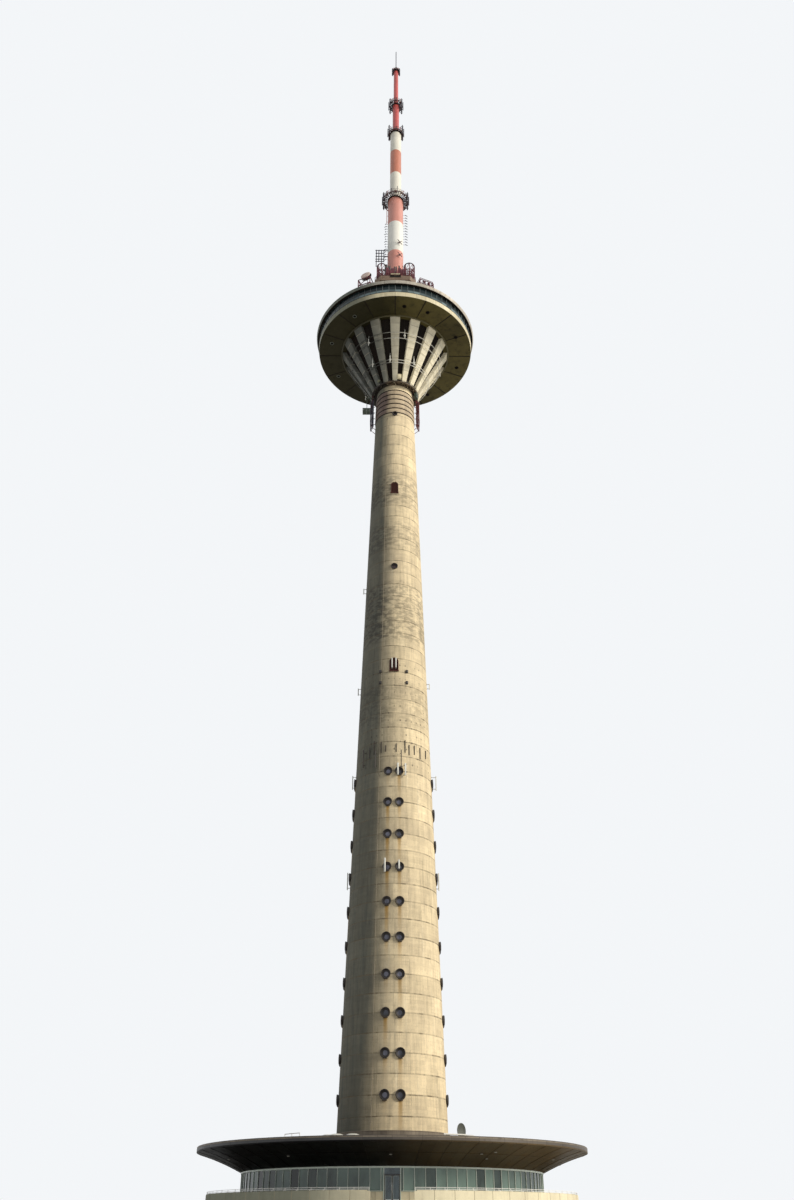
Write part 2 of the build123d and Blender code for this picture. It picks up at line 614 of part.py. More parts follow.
def head():
    """Soffit, band, deck floor, window ring, roof and edge of the round head."""
    plate_top = CONE_TOP_Z + SOFFIT_PLATE_T
    plate_in = CONE_RIB_TOP_R - RIB_D - CONE_WALL_T
    plate_out = band_r(CONE_TOP_Z) - BAND_T - SEAT_GAP
    save("head_soffit", drum(plate_out, plate_in, CONE_TOP_Z, plate_top))

    band = turned([(band_r(CONE_TOP_Z), CONE_TOP_Z), (BAND_TOP_R, BAND_TOP_Z),
                   (BAND_TOP_R - BAND_T, BAND_TOP_Z), (band_r(CONE_TOP_Z) - BAND_T, CONE_TOP_Z)])
    joint = block(PANEL_JOINT, -BAND_TOP_R - OVER, -BAND_LOW_R + BAND_T + OVER, CONE_TOP_Z - OVER,
                  BAND_TOP_Z + OVER)
    save("head_band", band.cut(*[bearing(joint, i * 360 / RIBS) for i in range(RIBS)]))

    deck_low = DECK_TOP_Z - DECK_T
    core_seat = CORE_R + SEAT_GAP
    save("deck_floor", drum(band_r(deck_low) - BAND_T - SEAT_GAP, core_seat, deck_low, DECK_TOP_Z))

    glass_r = BAND_TOP_R - DECK_GLASS_IN
    panes = glass_ring(glass_r, DECK_POSTS)
    save("deck_glass", Pos(0, 0, BAND_TOP_Z) * extrude(panes, WINDOW_HEAD_Z - BAND_TOP_Z))
    posts = []
    front = glass_r + GLASS_T / 2
    for i in range(DECK_POSTS):
        post = block(DECK_POST_W, -front - DECK_POST_D, -front, BAND_TOP_Z, WINDOW_HEAD_Z)
        posts.append(bearing(post, i * 360 / DECK_POSTS))
    save("deck_posts", posts)

    roof_out = EDGE_LOW_R - EDGE_T
    save("head_roof", drum(roof_out - SEAT_GAP, core_seat, WINDOW_HEAD_Z, WINDOW_HEAD_Z + HEAD_ROOF_T))
    save("roof_edge", turned([(EDGE_LOW_R, WINDOW_HEAD_Z), (EDGE_TOP_R, EDGE_TOP_Z), (roof_out, EDGE_TOP_Z),
                              (roof_out, WINDOW_HEAD_Z)]))

    save("head_core", drum(CORE_R, CORE_R - CORE_WALL, NECK_Z, CORE_TOP_Z))
    save("core_cap", drum(CORE_R + CAP_OUT, 0, CORE_TOP_Z, CORE_TOP_Z + CAP_T))


def crown():
    """The platform on brackets round the mast's foot, with its aerial cages and pickets."""
    seat = TUBE_R[0] + SEAT_GAP
    floor_top = PLATFORM_Z + PLATFORM_T
    outline = chamfer(Rectangle(PLATFORM_SIDE, PLATFORM_SIDE).vertices(), PLATFORM_CUT)
    inside = offset(outline, amount=-PLATFORM_RIM_T, kind=Kind.INTERSECTION)
    floor = extrude(outline - Circle(seat), PLATFORM_T)
    disc = Pos(0, 0, PLATFORM_Z) * floor
    rim = Pos(0, 0, PLATFORM_Z) * extrude(outline - inside, PLATFORM_T + PLATFORM_RIM_H)
    hub = drum(seat + PLATFORM_HUB_T, seat, PLATFORM_Z - BRACKET_DROP, floor_top)
    plane = Plane(origin=(BRACKET_T / 2, 0, 0), x_dir=(0, -1, 0), z_dir=(-1, 0, 0))
    root_r = seat + PLATFORM_HUB_T / 2
    tip_r = PLATFORM_SIDE / 2 - PLATFORM_RIM_T
    gusset = Polyline((root_r, PLATFORM_Z + PLATFORM_T / 2), (tip_r, PLATFORM_Z + PLATFORM_T / 2),
                      (tip_r, PLATFORM_Z - PLATFORM_T), (root_r, PLATFORM_Z - BRACKET_DROP), close=True)
    bracket = extrude(plane * make_face(gusset), BRACKET_T)
    brackets = [bearing(bracket, (i + 0.5) * 360 / BRACKETS) for i in range(BRACKETS)]
    save("crown_platform", disc.fuse(rim, hub, *brackets))

    frames = []
    for x_mid, radius in CAGES:
        cage = []
        for i in range(CAGE_HOOPS):
            top = CAGE_TOP_Z - i * CAGE_HOOP_PITCH
            cage.append(drum(radius, radius - CAGE_BAR, top - CAGE_BAR, top))
        post = block(CAGE_BAR, -radius, -radius + CAGE_BAR, floor_top, CAGE_TOP_Z)
        cage += [bearing(post, i * 360 / CAGE_POSTS) for i in range(CAGE_POSTS)]
        frames.append(Pos(x_mid, 0, 0) * cage[0].fuse(*cage[1:]))
    hoop = drum(PICKET_R + PICKET_BAR, PICKET_R, PICKET_HOOP_Z, PICKET_HOOP_Z + PICKET_BAR)
    picket = block(PICKET_BAR, -PICKET_R - PICKET_BAR, -PICKET_R, floor_top, PICKET_TOP_Z)
    frames.append(hoop.fuse(*[bearing(picket, (i + 0.5) * 360 / PICKETS) for i in range(PICKETS)]))
    save("crown_cages", frames)


def dish(radius, depth):
    """A shallow dish with its rim round the origin, open towards -Y."""
    arc = ThreePointArc((0, 0, depth), (radius * DISH_BULGE, 0, depth / 2), (radius, 0, 0))
    back = ThreePointArc((0, 0, depth + PANE_T), (radius * DISH_BULGE, 0, depth / 2 + PANE_T),
                         (radius, 0, PANE_T))
    outline = Curve() + [arc, Line(arc @ 1, back @ 1), back, Line(back @ 0, arc @ 0)]
    return Rot(-90, 0, 0) * revolve(make_face(outline), axis=Axis.Z)


def roof_items():
    """Two dishes with their stands, and a low pipe frame on the head's roof."""
    head_top = WINDOW_HEAD_Z + HEAD_ROOF_T
    dishes = []
    stands = []
    item_r = BAND_TOP_R - ROOF_ITEM_IN
    angle, height, radius, depth = HEAD_DISH
    hub_y = -item_r + depth + PANE_T
    dishes.append(bearing(Pos(0, -item_r, head_top + height) * dish(radius, depth), angle))
    stands.append(bearing(tripod(hub_y, head_top, height, 0.0), angle))
    angle, height, radius, depth = HALL_DISH
    hall_dish_r = EAVES_R - HALL_DISH_IN
    hub_y = -hall_dish_r + depth + PANE_T
    roof_z = roof_height(-hub_y)
    dishes.append(bearing(Pos(0, -hall_dish_r, roof_z + height) * dish(radius, depth), angle))
    slope = (ROOF_TOP_Z - EAVES_Z - FASCIA_H - ROOF_T) / (EAVES_R - shaft_r(ROOF_TOP_Z))
    stands.append(bearing(tripod(hub_y, roof_z, height, slope), angle))
    save("roof_dishes", dishes)

    angle, width, depth, height = PIPE_FRAME
    corners = [(sx * width / 2, -item_r + sy * depth / 2) for sx in (-1, 1) for sy in (-1, 1)]
    bars = [Pos(x, y, head_top + height / 2) * Box(STAND_BAR, STAND_BAR, height) for x, y in corners]
    for z in (head_top + height / 2, head_top + height - STAND_BAR / 2):
        for sy in (-1, 1):
            bars.append(Pos(0, -item_r + sy * depth / 2, z) * Box(width + STAND_BAR, STAND_BAR, STAND_BAR))
        for sx in (-1, 1):
            bars.append(Pos(sx * width / 2, -item_r, z) * Box(STAND_BAR, depth, STAND_BAR))
    stands.append(bearing(bars[0].fuse(*bars[1:]), angle))
    save("dish_stands", stands)


def roof_height(r):
    """Height of the hall roof's top surface at a radius."""
    rim_z = EAVES_Z + FASCIA_H + ROOF_T
    inner_r = shaft_r(ROOF_TOP_Z - ROOF_T) + SEAT_GAP
    return rim_z + (ROOF_TOP_Z - rim_z) * (EAVES_R - r) / (EAVES_R - inner_r)


def tripod(hub_y, floor_z, height, slope):
    """A post, brace and leg behind a dish on the front bearing, cut to sit on a sloping roof."""
    tilt = math.degrees(math.atan(slope))
    post = block(STAND_BAR, hub_y, hub_y + STAND_BAR, floor_z - STAND_BAR, floor_z + height)
    brace = Pos(0, hub_y + STAND_BAR + STAND_SPREAD / 2, floor_z + height / 3) * Box(
        STAND_BAR, STAND_SPREAD, STAND_BAR)
    leg = block(STAND_BAR, hub_y + STAND_SPREAD, hub_y + STAND_SPREAD + STAND_BAR, floor_z - STAND_BAR,
                floor_z + height / 3 + STAND_BAR / 2)
    tool = Pos(0, hub_y, floor_z + SEAT_GAP) * Rot(tilt, 0, 0) * Box(
        4 * STAND_SPREAD, 4 * STAND_SPREAD, 4 * STAND_BAR, align=(Align.CENTER, Align.CENTER, Align.MAX))
    return post.fuse(brace, leg) - tool


def mast():
    """Painted steel tubes that step in at flanged galleries, and the needle."""
    low = CORE_TOP_Z + CAP_T
    painted = {"red": [], "white": []}
    galleries = []
    panels = []
    colour = "red"
    for i, top in enumerate(TUBE_TOP_Z):
        levels = (low,) + PAINT_JOINTS[i] + (top,)
        for z_low, z_high in zip(levels, levels[1:]):
            painted[colour].append(drum(TUBE_R[i], TUBE_R[i] - TUBE_WALL[i], z_low, z_high))
            if z_high != top or i < 2:
                colour = "white" if colour == "red" else "red"
        gallery_r = TUBE_R[i] + FLANGE_OUT[i]
        galleries.append(drum(gallery_r, 0, top, top + FLANGE_T))
        panel = block(PANEL_W[i], -gallery_r, -gallery_r + PANEL_D, top - PANEL_H[i], top)
        for k in range(PANELS_A_SIDE[i]):
            turn = 90 + PANEL_SPREAD * (k / (PANELS_A_SIDE[i] - 1) - 0.5)
            panels += [bearing(panel, turn), bearing(panel, -turn)]
        low = top + FLANGE_T
    save("mast_tubes_red", painted["red"])
    save("mast_tubes_white", painted["white"])
    save("mast_galleries", galleries)
    save("aerial_panels", panels)
    save("mast_needle", drum(NEEDLE_R, 0, low, low + NEEDLE_L))


os.makedirs("parts", exist_ok=True)
podium()
hall()
entrance()
hall_roof()
shaft()
aerials()
neck()
neck_frames()
neck_items()
cone()
head()
crown()
roof_items()
mast()
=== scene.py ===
import json
import math

import bmesh
import bpy
import numpy as np
from mathutils import Matrix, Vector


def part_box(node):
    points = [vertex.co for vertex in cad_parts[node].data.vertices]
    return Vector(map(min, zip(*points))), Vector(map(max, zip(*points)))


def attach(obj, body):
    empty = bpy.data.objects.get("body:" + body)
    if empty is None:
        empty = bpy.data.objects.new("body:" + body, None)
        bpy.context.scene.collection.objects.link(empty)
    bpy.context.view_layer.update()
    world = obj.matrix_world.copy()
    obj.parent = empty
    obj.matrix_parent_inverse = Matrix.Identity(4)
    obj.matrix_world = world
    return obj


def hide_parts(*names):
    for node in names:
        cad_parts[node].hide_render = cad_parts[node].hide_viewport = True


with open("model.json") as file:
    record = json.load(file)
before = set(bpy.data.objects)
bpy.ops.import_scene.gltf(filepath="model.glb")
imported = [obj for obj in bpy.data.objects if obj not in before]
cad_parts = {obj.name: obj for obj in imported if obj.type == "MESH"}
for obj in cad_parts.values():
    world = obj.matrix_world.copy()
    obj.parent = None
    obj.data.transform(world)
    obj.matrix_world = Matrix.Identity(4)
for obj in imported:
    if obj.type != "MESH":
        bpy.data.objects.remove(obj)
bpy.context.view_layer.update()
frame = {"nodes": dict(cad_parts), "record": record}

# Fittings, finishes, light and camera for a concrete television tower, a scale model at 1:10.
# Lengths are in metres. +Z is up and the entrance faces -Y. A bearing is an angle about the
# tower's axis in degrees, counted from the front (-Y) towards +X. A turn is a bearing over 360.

bl_info = {
    "name": "Concrete tower fittings",
    "version": (1, 0, 0),
    "blender": (4, 5, 0),
    "location": "View3D > Sidebar > Tower",
    "description": "Fittings, finishes, light and camera for a concrete television tower",
    "category": "Add Mesh",
}

# sizes read from the frame
LOW = {name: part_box(name)[0] for name in frame["nodes"]}
HIGH = {name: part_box(name)[1] for name in frame["nodes"]}
TAPER = (HIGH["shaft_lift_5"].x - HIGH["shaft_foot"].x) / (LOW["shaft_lift_5"].z - LOW["shaft_foot"].z)
NECK_TOP = HIGH["shaft_lift_5"].z
CONE_FOOT_R = HIGH["cone_foot_ring"].x
CONE_TOP_R = HIGH["cone_ribs"].x
CONE_TOP = HIGH["cone_ribs"].z
SOFFIT_Z = LOW["head_soffit"].z
BAND_R = HIGH["head_band"].x
EDGE_R = HIGH["roof_edge"].x
HEAD_ROOF_Z = HIGH["head_roof"].z
PLATFORM_Z = LOW["crown_platform"].z
EAVES_R = HIGH["roof_soffit"].x
HALL_R = HIGH["hall_dado"].x
ROOF_RIM_Z = LOW["roof_skin"].z
ROOF_TOP_Z = HIGH["roof_skin"].z
COLLAR_TOP = HIGH["shaft_collar"].z
TERRACE_Z = HIGH["terrace_floor"].z
PODIUM_R = HIGH["podium_wall"].x
PARAPET_TOP = HIGH["parapet_wall"].z

# round windows on the shaft
PORTHOLE_ROWS = 1.898 + 0.579 * np.arange(10)
PORTHOLE_BEARINGS = np.array([side + sign * 8 for side in (0, 90, 180, 270) for sign in (-1, 1)])
PORTHOLE_R = 0.0717
FRAME_OUT = 0.024
SINGLE_WINDOWS = ((11.59, 0.0657), (15.84, 0.0557))
SHAFT_WALL = (0.05, 0.032)

# arched openings on the front: foot, width and height
ARCH_LOW = (9.16, 0.16, 0.28)
ARCH_HIGH = (13.53, 0.145, 0.29)

# steel tubes of the mast: radius, foot and top, and the galleries that cap them
TUBES = ((0.205, 19.03, 24), (0.155, 24.012, 27.05), (0.093, 27.062, 28.5), (0.068, 28.512, 30.3))
GALLERY_R = (0.35, 0.22, 0.2, 0.115)
GALLERY_T = 0.012

# aerial arrays on both sides of each gallery: foot, top, posts a side and half their spread
ARRAYS = ((23.9, 24.2, 3, 24), (27, 27.34, 3, 32), (28.32, 28.68, 3, 34), (30.22, 30.36, 2, 30))

# round aerial cages on the crown platform: middle and radius, and the heights of their hoops
CAGES = ((-0.353, 0.124), (0.36, 0.14))
CAGE_LEVELS = (20.67, 20.9, 21.13, 21.355)

# flat white aerials on the shaft: bearing, middle height, length and how far out they stand
SHAFT_AERIALS = (
    (5.8, 7.135, 0.23, 0.045), (16.3, 7.135, 0.23, 0.045), (91, 7.16, 0.28, 0.08),
    (-90, 7.16, 0.26, 0.05),
    (-10.4, 5.39, 0.24, 0.045), (6.9, 5.4, 0.15, 0.045), (94, 5.35, 0.31, 0.045), (-93, 5.35, 0.3, 0.045),
    (90, 9.15, 0.12, 0.045), (-94, 9.05, 0.15, 0.045), (-91, 11.35, 0.13, 0.045))

RIBS = 16

# turns a shape that faces the front to face up
FACE_UP = Matrix.Rotation(math.pi / 2, 3, "X")

# edges that turn by less than this many degrees are shaded smooth
SMOOTH_UNDER = 40

# finish and material slot of pieces that share them
STEEL = ("Window frame steel", "frame_black")
PLASTIC = ("White aerial plastic", "aerial_white")
BARE_STEEL = ("Galvanised steel", "aerial_white")
MAST_STEEL = ("Galvanised steel", "needle_grey")
DARK = ("Slot paint", "cone_dark")
RED_BARS = ("Red lattice paint", "gallery_dark")
NAVY = ("Navy paint", "aerial_dark")
CREAM = ("Head band sheet", "head_band_cream")

# bearing of the side with the least sun, round which the finishes paint shade, stretches of the
# shaft that are blotched dark (foot, top and how much), and the heights between which the holes of
# the shuttering's ties show
PAINTED_SHADE_BEARING = math.radians(-100)
BLOTCHES = ((8.05, 8.95, 0.45), (9.85, 11.2, 0.85), (12.05, 12.75, 0.6), (13.25, 14.05, 0.7))
TIE_ROWS = (7.05, 9.3)


class Shape:
    """Points with the quads and triangles between them, all as arrays."""

    def __init__(self, points, quads=(), tris=()):
        self.points = np.asarray(points, float).reshape(-1, 3)
        self.quads = np.asarray(quads, int).reshape(-1, 4)
        self.tris = np.asarray(tris, int).reshape(-1, 3)

    def __add__(self, other):
        step = len(self.points)
        return Shape(np.vstack([self.points, other.points]), np.vstack([self.quads, other.quads + step]),
            np.vstack([self.tris, other.tris + step]))

    def moved(self, x=0.0, y=0.0, z=0.0):
        """The shape shifted by a vector."""
        return Shape(self.points + np.array([x, y, z]), self.quads, self.tris)

    def turned(self, matrix):
        """The shape turned by a 3 by 3 matrix."""
        return Shape(self.points @ np.asarray(matrix).T, self.quads, self.tris)

    def copies(self, turns, shifts):
        """The shape set down once for each turn matrix and shift, as one product over all points."""
        placed = np.einsum("kij,nj->kni", turns, self.points) + shifts[:, None, :]
        step = (np.arange(len(turns)) * len(self.points))[:, None, None]
        return Shape(placed, self.quads[None] + step, self.tris[None] + step)

    def around(self, bearings, radius=0.0, height=0.0):
        """Copies of a shape made at the axis, facing the front, pushed out and turned to each bearing."""
        bearings, radius, height = np.broadcast_arrays(
            np.asarray(bearings, float), np.asarray(radius, float), np.asarray(height, float))
        angle = np.radians(bearings.ravel())
        c, s, o = np.cos(angle), np.sin(angle), np.zeros(angle.size)
        turns = np.stack([c, -s, o, s, c, o, o, o, o + 1], axis=1).reshape(-1, 3, 3)
        shifts = np.stack([radius.ravel() * s, -radius.ravel() * c, height.ravel()], axis=1)
        return self.copies(turns, shifts)


def joined(shapes):
    """One shape from several."""
    total = shapes[0]
    for shape in shapes[1:]:
        total = total + shape
    return total


def triples(x, y, z):
    """Rows of three numbers, from three columns of which some may be one number for every row."""
    return np.stack(np.broadcast_arrays(x, y, z), axis=-1)


def even_bearings(count):
    """Bearings at even steps round the axis, the first at the front."""
    return np.arange(count) * 360 / count


def at_bearing(bearing, radius, height):
    """The point at a bearing, a radius and a height, or a row of points where one is an array."""
    angle = np.radians(bearing)
    return triples(radius * np.sin(angle), -radius * np.cos(angle), height)


def grid(points, wrap_u=False, wrap_v=False):
    """A quad between each four neighbours of a grid of points, joined end to end where it wraps."""
    rows, columns = points.shape[:2]
    index = np.arange(rows * columns).reshape(rows, columns)
    if wrap_u:
        index = np.vstack([index, index[:1]])
    if wrap_v:
        index = np.hstack([index, index[:, :1]])
    quads = np.stack([index[:-1, :-1], index[1:, :-1], index[1:, 1:], index[:-1, 1:]], axis=-1)
    return Shape(points.reshape(-1, 3), quads.reshape(-1, 4))


def capped(points):
    """A tube of rings, the rows of a grid that wraps along its columns, with a fan over both end rings."""
    rows, columns = points.shape[:2]
    body = grid(points, wrap_v=True)
    ring = np.arange(columns)
    ahead = np.roll(ring, -1)
    last = (rows - 1) * columns
    count = rows * columns
    first_cap = triples(count, ring, ahead)
    last_cap = triples(count + 1, last + ahead, last + ring)
    ends = np.array([points[0].mean(axis=0), points[-1].mean(axis=0)])
    return Shape(np.vstack([body.points, ends]), body.quads, np.vstack([first_cap, last_cap]))


def rods(starts, ends, radius, sides=6, radius_end=None):
    """Straight rods: a polygon set square to each line from start to end, at both its ends."""
    starts = np.atleast_2d(np.asarray(starts, float))
    ends = np.atleast_2d(np.asarray(ends, float))
    along = ends - starts
    along /= np.linalg.norm(along, axis=1, keepdims=True)
    upright = np.abs(along[:, 2:]) > 0.9
    helper = np.where(upright, np.array([1.0, 0.0, 0.0]), np.array([0.0, 0.0, 1.0]))
    across = np.cross(along, helper)
    across /= np.linalg.norm(across, axis=1, keepdims=True)
    over = np.cross(across, along)
    angle = 2 * np.pi * (np.arange(sides) + 0.5) / sides
    spoke = across[:, None, :] * np.cos(angle)[:, None] + over[:, None, :] * np.sin(angle)[:, None]
    tip = radius if radius_end is None else radius_end
    low_ring = starts[:, None, :] + radius * spoke
    high_ring = ends[:, None, :] + tip * spoke
    points = np.concatenate([low_ring, high_ring, starts[:, None, :], ends[:, None, :]], axis=1)
    one = np.arange(sides)
    ahead = np.roll(one, -1)
    wall = np.stack([one, ahead, ahead + sides, one + sides], axis=1)
    foot = triples(2 * sides, ahead, one)
    head = triples(2 * sides + 1, one + sides, ahead + sides)
    step = (np.arange(len(starts)) * (2 * sides + 2))[:, None, None]
    return Shape(points, wall[None] + step, np.vstack([foot, head])[None] + step)


def bars_at(bearings, start, end, radius, sides=6, radius_end=None):
    """Rods at one bearing or more, each from one (radius, height) to another."""
    return rods(at_bearing(bearings, *start), at_bearing(bearings, *end), radius, sides, radius_end)


def tube(path, radius, sides=8):
    """A round section carried along a path: across is square to the path and to the outward direction."""
    path = np.asarray(path, float)
    along = np.gradient(path, axis=0)
    along /= np.linalg.norm(along, axis=1, keepdims=True)
    outward = path * np.array([1.0, 1.0, 0.0]) + np.array([0.0, -1e-3, 0.0])
    across = np.cross(along, outward)
    across /= np.linalg.norm(across, axis=1, keepdims=True)
    over = np.cross(across, along)
    angle = 2 * np.pi * np.arange(sides) / sides
    ring = across[:, None, :] * np.cos(angle)[:, None] + over[:, None, :] * np.sin(angle)[:, None]
    return capped(path[:, None, :] + radius * ring)


def spun(profile, steps=96, start=0.0, sweep=360.0):
    """A closed profile of (radius, height) points swept round the tower's axis, whole or in part."""
    profile = np.asarray(profile, float)
    whole = sweep >= 360.0
    bearings = np.linspace(start, start + sweep, steps, endpoint=not whole)
    angle = np.radians(bearings)[:, None]
    points = np.stack([profile[:, 0] * np.sin(angle), -profile[:, 0] * np.cos(angle),
        profile[:, 1] + 0 * angle], axis=-1)
    return grid(points, wrap_u=True, wrap_v=True) if whole else capped(points)


def bead(radius, height, size, corners=8):
    """A round bead's profile for spun(): a small circle about (radius, height)."""
    angle = 2 * np.pi * np.arange(corners) / corners
    return np.stack([radius + size * np.cos(angle), height + size * np.sin(angle)], axis=1)


def strip(inner, outer, low, high):
    """A flat bar's profile for spun(), between two radii and two heights."""
    return np.array([(inner, low), (outer, low), (outer, high), (inner, high)])


def front_ring(radius, size, steps=32, sides=6):
    """A torus that faces the front: a circle of the given size carried round a circle of the radius."""
    u = 2 * np.pi * np.arange(steps)[:, None] / steps
    v = 2 * np.pi * np.arange(sides)[None, :] / sides
    reach = radius + size * np.cos(v)
    points = np.stack([reach * np.cos(u), size * np.sin(v) + 0 * u, reach * np.sin(u)], axis=-1)
    return grid(points, wrap_u=True, wrap_v=True)


def front_disc(radius, depth, steps=24, crown=0.25):
    """A disc that faces the front, with a rounded rim: radius times the cosine, depth times the sine."""
    rise = np.linspace(0, np.pi / 2, 4)
    reach = radius * (1 - crown + crown * np.cos(rise))
    back = np.array([[radius, depth], [radius, 0.0]])
    front = np.stack([reach, -depth * crown * 2 * np.sin(rise)], axis=1)
    outline = np.vstack([back, front])
    u = 2 * np.pi * np.arange(steps)[None, :] / steps
    r, y = outline[:, :1], outline[:, 1:]
    points = np.stack([r * np.cos(u), y + 0 * u, r * np.sin(u)], axis=-1)
    return capped(points)


def block(width, depth, height, edge=0.12):
    """A box with cut corners: an eight-sided outline at four levels, drawn in at the first and last."""
    cut = edge * min(width, depth, height)
    x, y = width / 2, depth / 2
    outline = np.array([(x - cut, -y), (x, -y + cut), (x, y - cut), (x - cut, y), (-x + cut, y),
        (-x, y - cut), (-x, -y + cut), (-x + cut, -y)])
    shrink = np.array([1 - 2 * cut / max(width, depth), 1, 1, 1 - 2 * cut / max(width, depth)])
    level = np.array([-height / 2, -height / 2 + cut, height / 2 - cut, height / 2])
    plan = outline[None, :, :] * shrink[:, None, None]
    points = np.concatenate([plan, np.broadcast_to(level[:, None, None], (4, 8, 1))], axis=2)
    return capped(points)


def shaft_radius(z):
    """Outer radius of the concrete shaft: a straight taper through the foot's and the top lift's rims."""
    return HIGH["shaft_foot"].x + TAPER * (np.asarray(z) - LOW["shaft_foot"].z)


def rib_radius(z):
    """Outer radius of the cone's ribs, a straight line from its foot ring to the soffit."""
    return CONE_FOOT_R + (CONE_TOP_R - CONE_FOOT_R) * (np.asarray(z) - NECK_TOP) / (CONE_TOP - NECK_TOP)


def roof_height(r):
    """Top of the hall's roof: a straight slope from the eaves up to the collar."""
    inner = shaft_radius(ROOF_TOP_Z)
    rim = ROOF_RIM_Z + 0.015
    return rim + (ROOF_TOP_Z - rim) * (EAVES_R - np.asarray(r)) / (EAVES_R - inner)


def soffit_height(r):
    """Underside of the hall's eaves: a straight slope with a parabola added for its bulge."""
    start = HALL_R + 0.005
    t = (np.asarray(r) - start) / (EAVES_R - start)
    return LOW["roof_soffit"].z + 0.249 * t + 0.08 * t * (1 - t)


def front_face(x, z, out):
    """Points over the shaft's front at a sideways distance: the circle's depth there, and out a little."""
    reach = shaft_radius(z) + out
    return np.stack([x, -np.sqrt(reach ** 2 - x ** 2), z], axis=-1)


def piece(name, shape, material, slot, body="tower", stands_for=()):
    """Puts a shape, or several as one, into the scene as a piece that rides on a body of the frame."""
    if isinstance(shape, list):
        shape = joined(shape)
    mesh = bpy.data.meshes.new(name)
    count, quads, tris = len(shape.points), shape.quads, shape.tris
    mesh.vertices.add(count)
    mesh.vertices.foreach_set("co", shape.points.astype(np.float32).ravel())
    mesh.loops.add(quads.size + tris.size)
    mesh.loops.foreach_set("vertex_index", np.concatenate([quads.ravel(), tris.ravel()]).astype(np.int32))
    starts = np.concatenate([np.arange(len(quads)) * 4, quads.size + np.arange(len(tris)) * 3])
    mesh.polygons.add(len(starts))
    mesh.polygons.foreach_set("loop_start", starts.astype(np.int32))
    mesh.update(calc_edges=True)
    work = bmesh.new()
    work.from_mesh(mesh)
    bmesh.ops.recalc_face_normals(work, faces=work.faces)
    work.to_mesh(mesh)
    work.free()
    mesh.shade_smooth()
    mesh.set_sharp_from_angle(angle=math.radians(SMOOTH_UNDER))
    mesh.materials.append(bpy.data.materials[material])
    obj = bpy.data.objects.new(name, mesh)
    bpy.context.scene.collection.objects.link(obj)
    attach(obj, body)
    if stands_for:
        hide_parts(*stands_for)
    return obj


class Tree:
    """Short calls that add nodes to a node tree and join them."""

    def __init__(self, tree):
        self.tree = tree
        self.position = None

    def add(self, kind, inputs=(), **settings):
        """A node with its settings. An input is a socket to join, or a constant to set."""
        node = self.tree.nodes.new(kind)
        for key, value in settings.items():
            setattr(node, key, value)
        for key, value in dict(inputs).items():
            if isinstance(value, bpy.types.NodeSocket):
                self.join(value, node.inputs[key])
            else:
                node.inputs[key].default_value = value
        return node

    def math(self, operation, *values, clamp=False):
        """One arithmetic step."""
        return self.add("ShaderNodeMath", enumerate(values), operation=operation, use_clamp=clamp).outputs[0]

    def plus(self, first, second, clamp=False):
        """The sum of two values."""
        return self.math("ADD", first, second, clamp=clamp)

    def minus(self, first, second):
        """The first value less the second."""
        return self.math("SUBTRACT", first, second)

    def times(self, first, second, clamp=False):
        """The product of two values."""
        return self.math("MULTIPLY", first, second, clamp=clamp)

    def most(self, first, second):
        """The greater of two values."""
        return self.math("MAXIMUM", first, second)

    def join(self, source, target):
        """Joins an output socket to an input socket."""
        self.tree.links.new(source, target)

    def mix(self, share, first, second, blend="MIX"):
        """A colour between two colours, which are sockets or three numbers each."""
        first, second = [(*c, 1.0) if isinstance(c, tuple) else c for c in (first, second)]
        inputs = {0: share, 6: first, 7: second}
        return self.add("ShaderNodeMix", inputs, data_type="RGBA", blend_type=blend).outputs[2]

    def lit(self, colour, light):
        """A colour made lighter or darker by a factor."""
        tone = self.add("ShaderNodeCombineColor", {0: light, 1: light, 2: light}).outputs[0]
        return self.mix(1.0, colour, tone, "MULTIPLY")

    def spread(self, value, low, high, to_low=0.0, to_high=1.0):
        """A value carried from one range to another, smoothly and without going past its ends."""
        inputs = {0: value, 1: low, 2: high, 3: to_low, 4: to_high}
        return self.add("ShaderNodeMapRange", inputs, interpolation_type="SMOOTHSTEP").outputs[0]

    def group(self, name, **inputs):
        """A shared effect, placed with its own values."""
        node = self.add("ShaderNodeGroup", node_tree=bpy.data.node_groups[name])
        for key, value in inputs.items():
            socket = node.inputs[key.replace("_", " ")]
            if isinstance(value, bpy.types.NodeSocket):
                self.join(value, socket)
            else:
                socket.default_value = value
        return node

    def place(self):
        """Turn, height and radius of the position, by name."""
        return self.group("Place on tower", Position=self.position).outputs

    def joints(self, value, first, pitch, width):
        """Line, step and run of even joints along a value, by name."""
        return self.group("Even joints", Value=value, First=first, Pitch=pitch, Width=width).outputs

    def tint(self, across, up):
        """The random value of a pair of step numbers."""
        return self.group("Panel tint", Across=across, Up=up).outputs[0]

    def stains(self, scale, stretch, low, high):
        """A mask of clouds or streaks."""
        return self.group("Stains", Position=self.position, Scale=scale, Stretch=stretch,
            Low=low, High=high).outputs[0]

    def grain(self, scale):
        """Fine pits and grains."""
        return self.group("Grain", Position=self.position, Scale=scale).outputs[0]

    def shade(self, low, high, wander=0.25):
        """A mask for painted shade on the side away from the sun."""
        return self.group("Painted shade side", Position=self.position, Low=low, High=high,
            Wander=wander).outputs[0]


def shared_effect(name, inputs, outputs):
    """An empty shader node group with named inputs and outputs, ready for its nodes."""
    tree = bpy.data.node_groups.new(name, "ShaderNodeTree")
    for label, kind, value in inputs:
        socket = tree.interface.new_socket(name=label, in_out="INPUT", socket_type=kind)
        if value is not None:
            socket.default_value = value
    for label in outputs:
        tree.interface.new_socket(name=label, in_out="OUTPUT", socket_type="NodeSocketFloat")
    work = Tree(tree)
    source = work.add("NodeGroupInput").outputs
    target = work.add("NodeGroupOutput").inputs
    return work, source, target


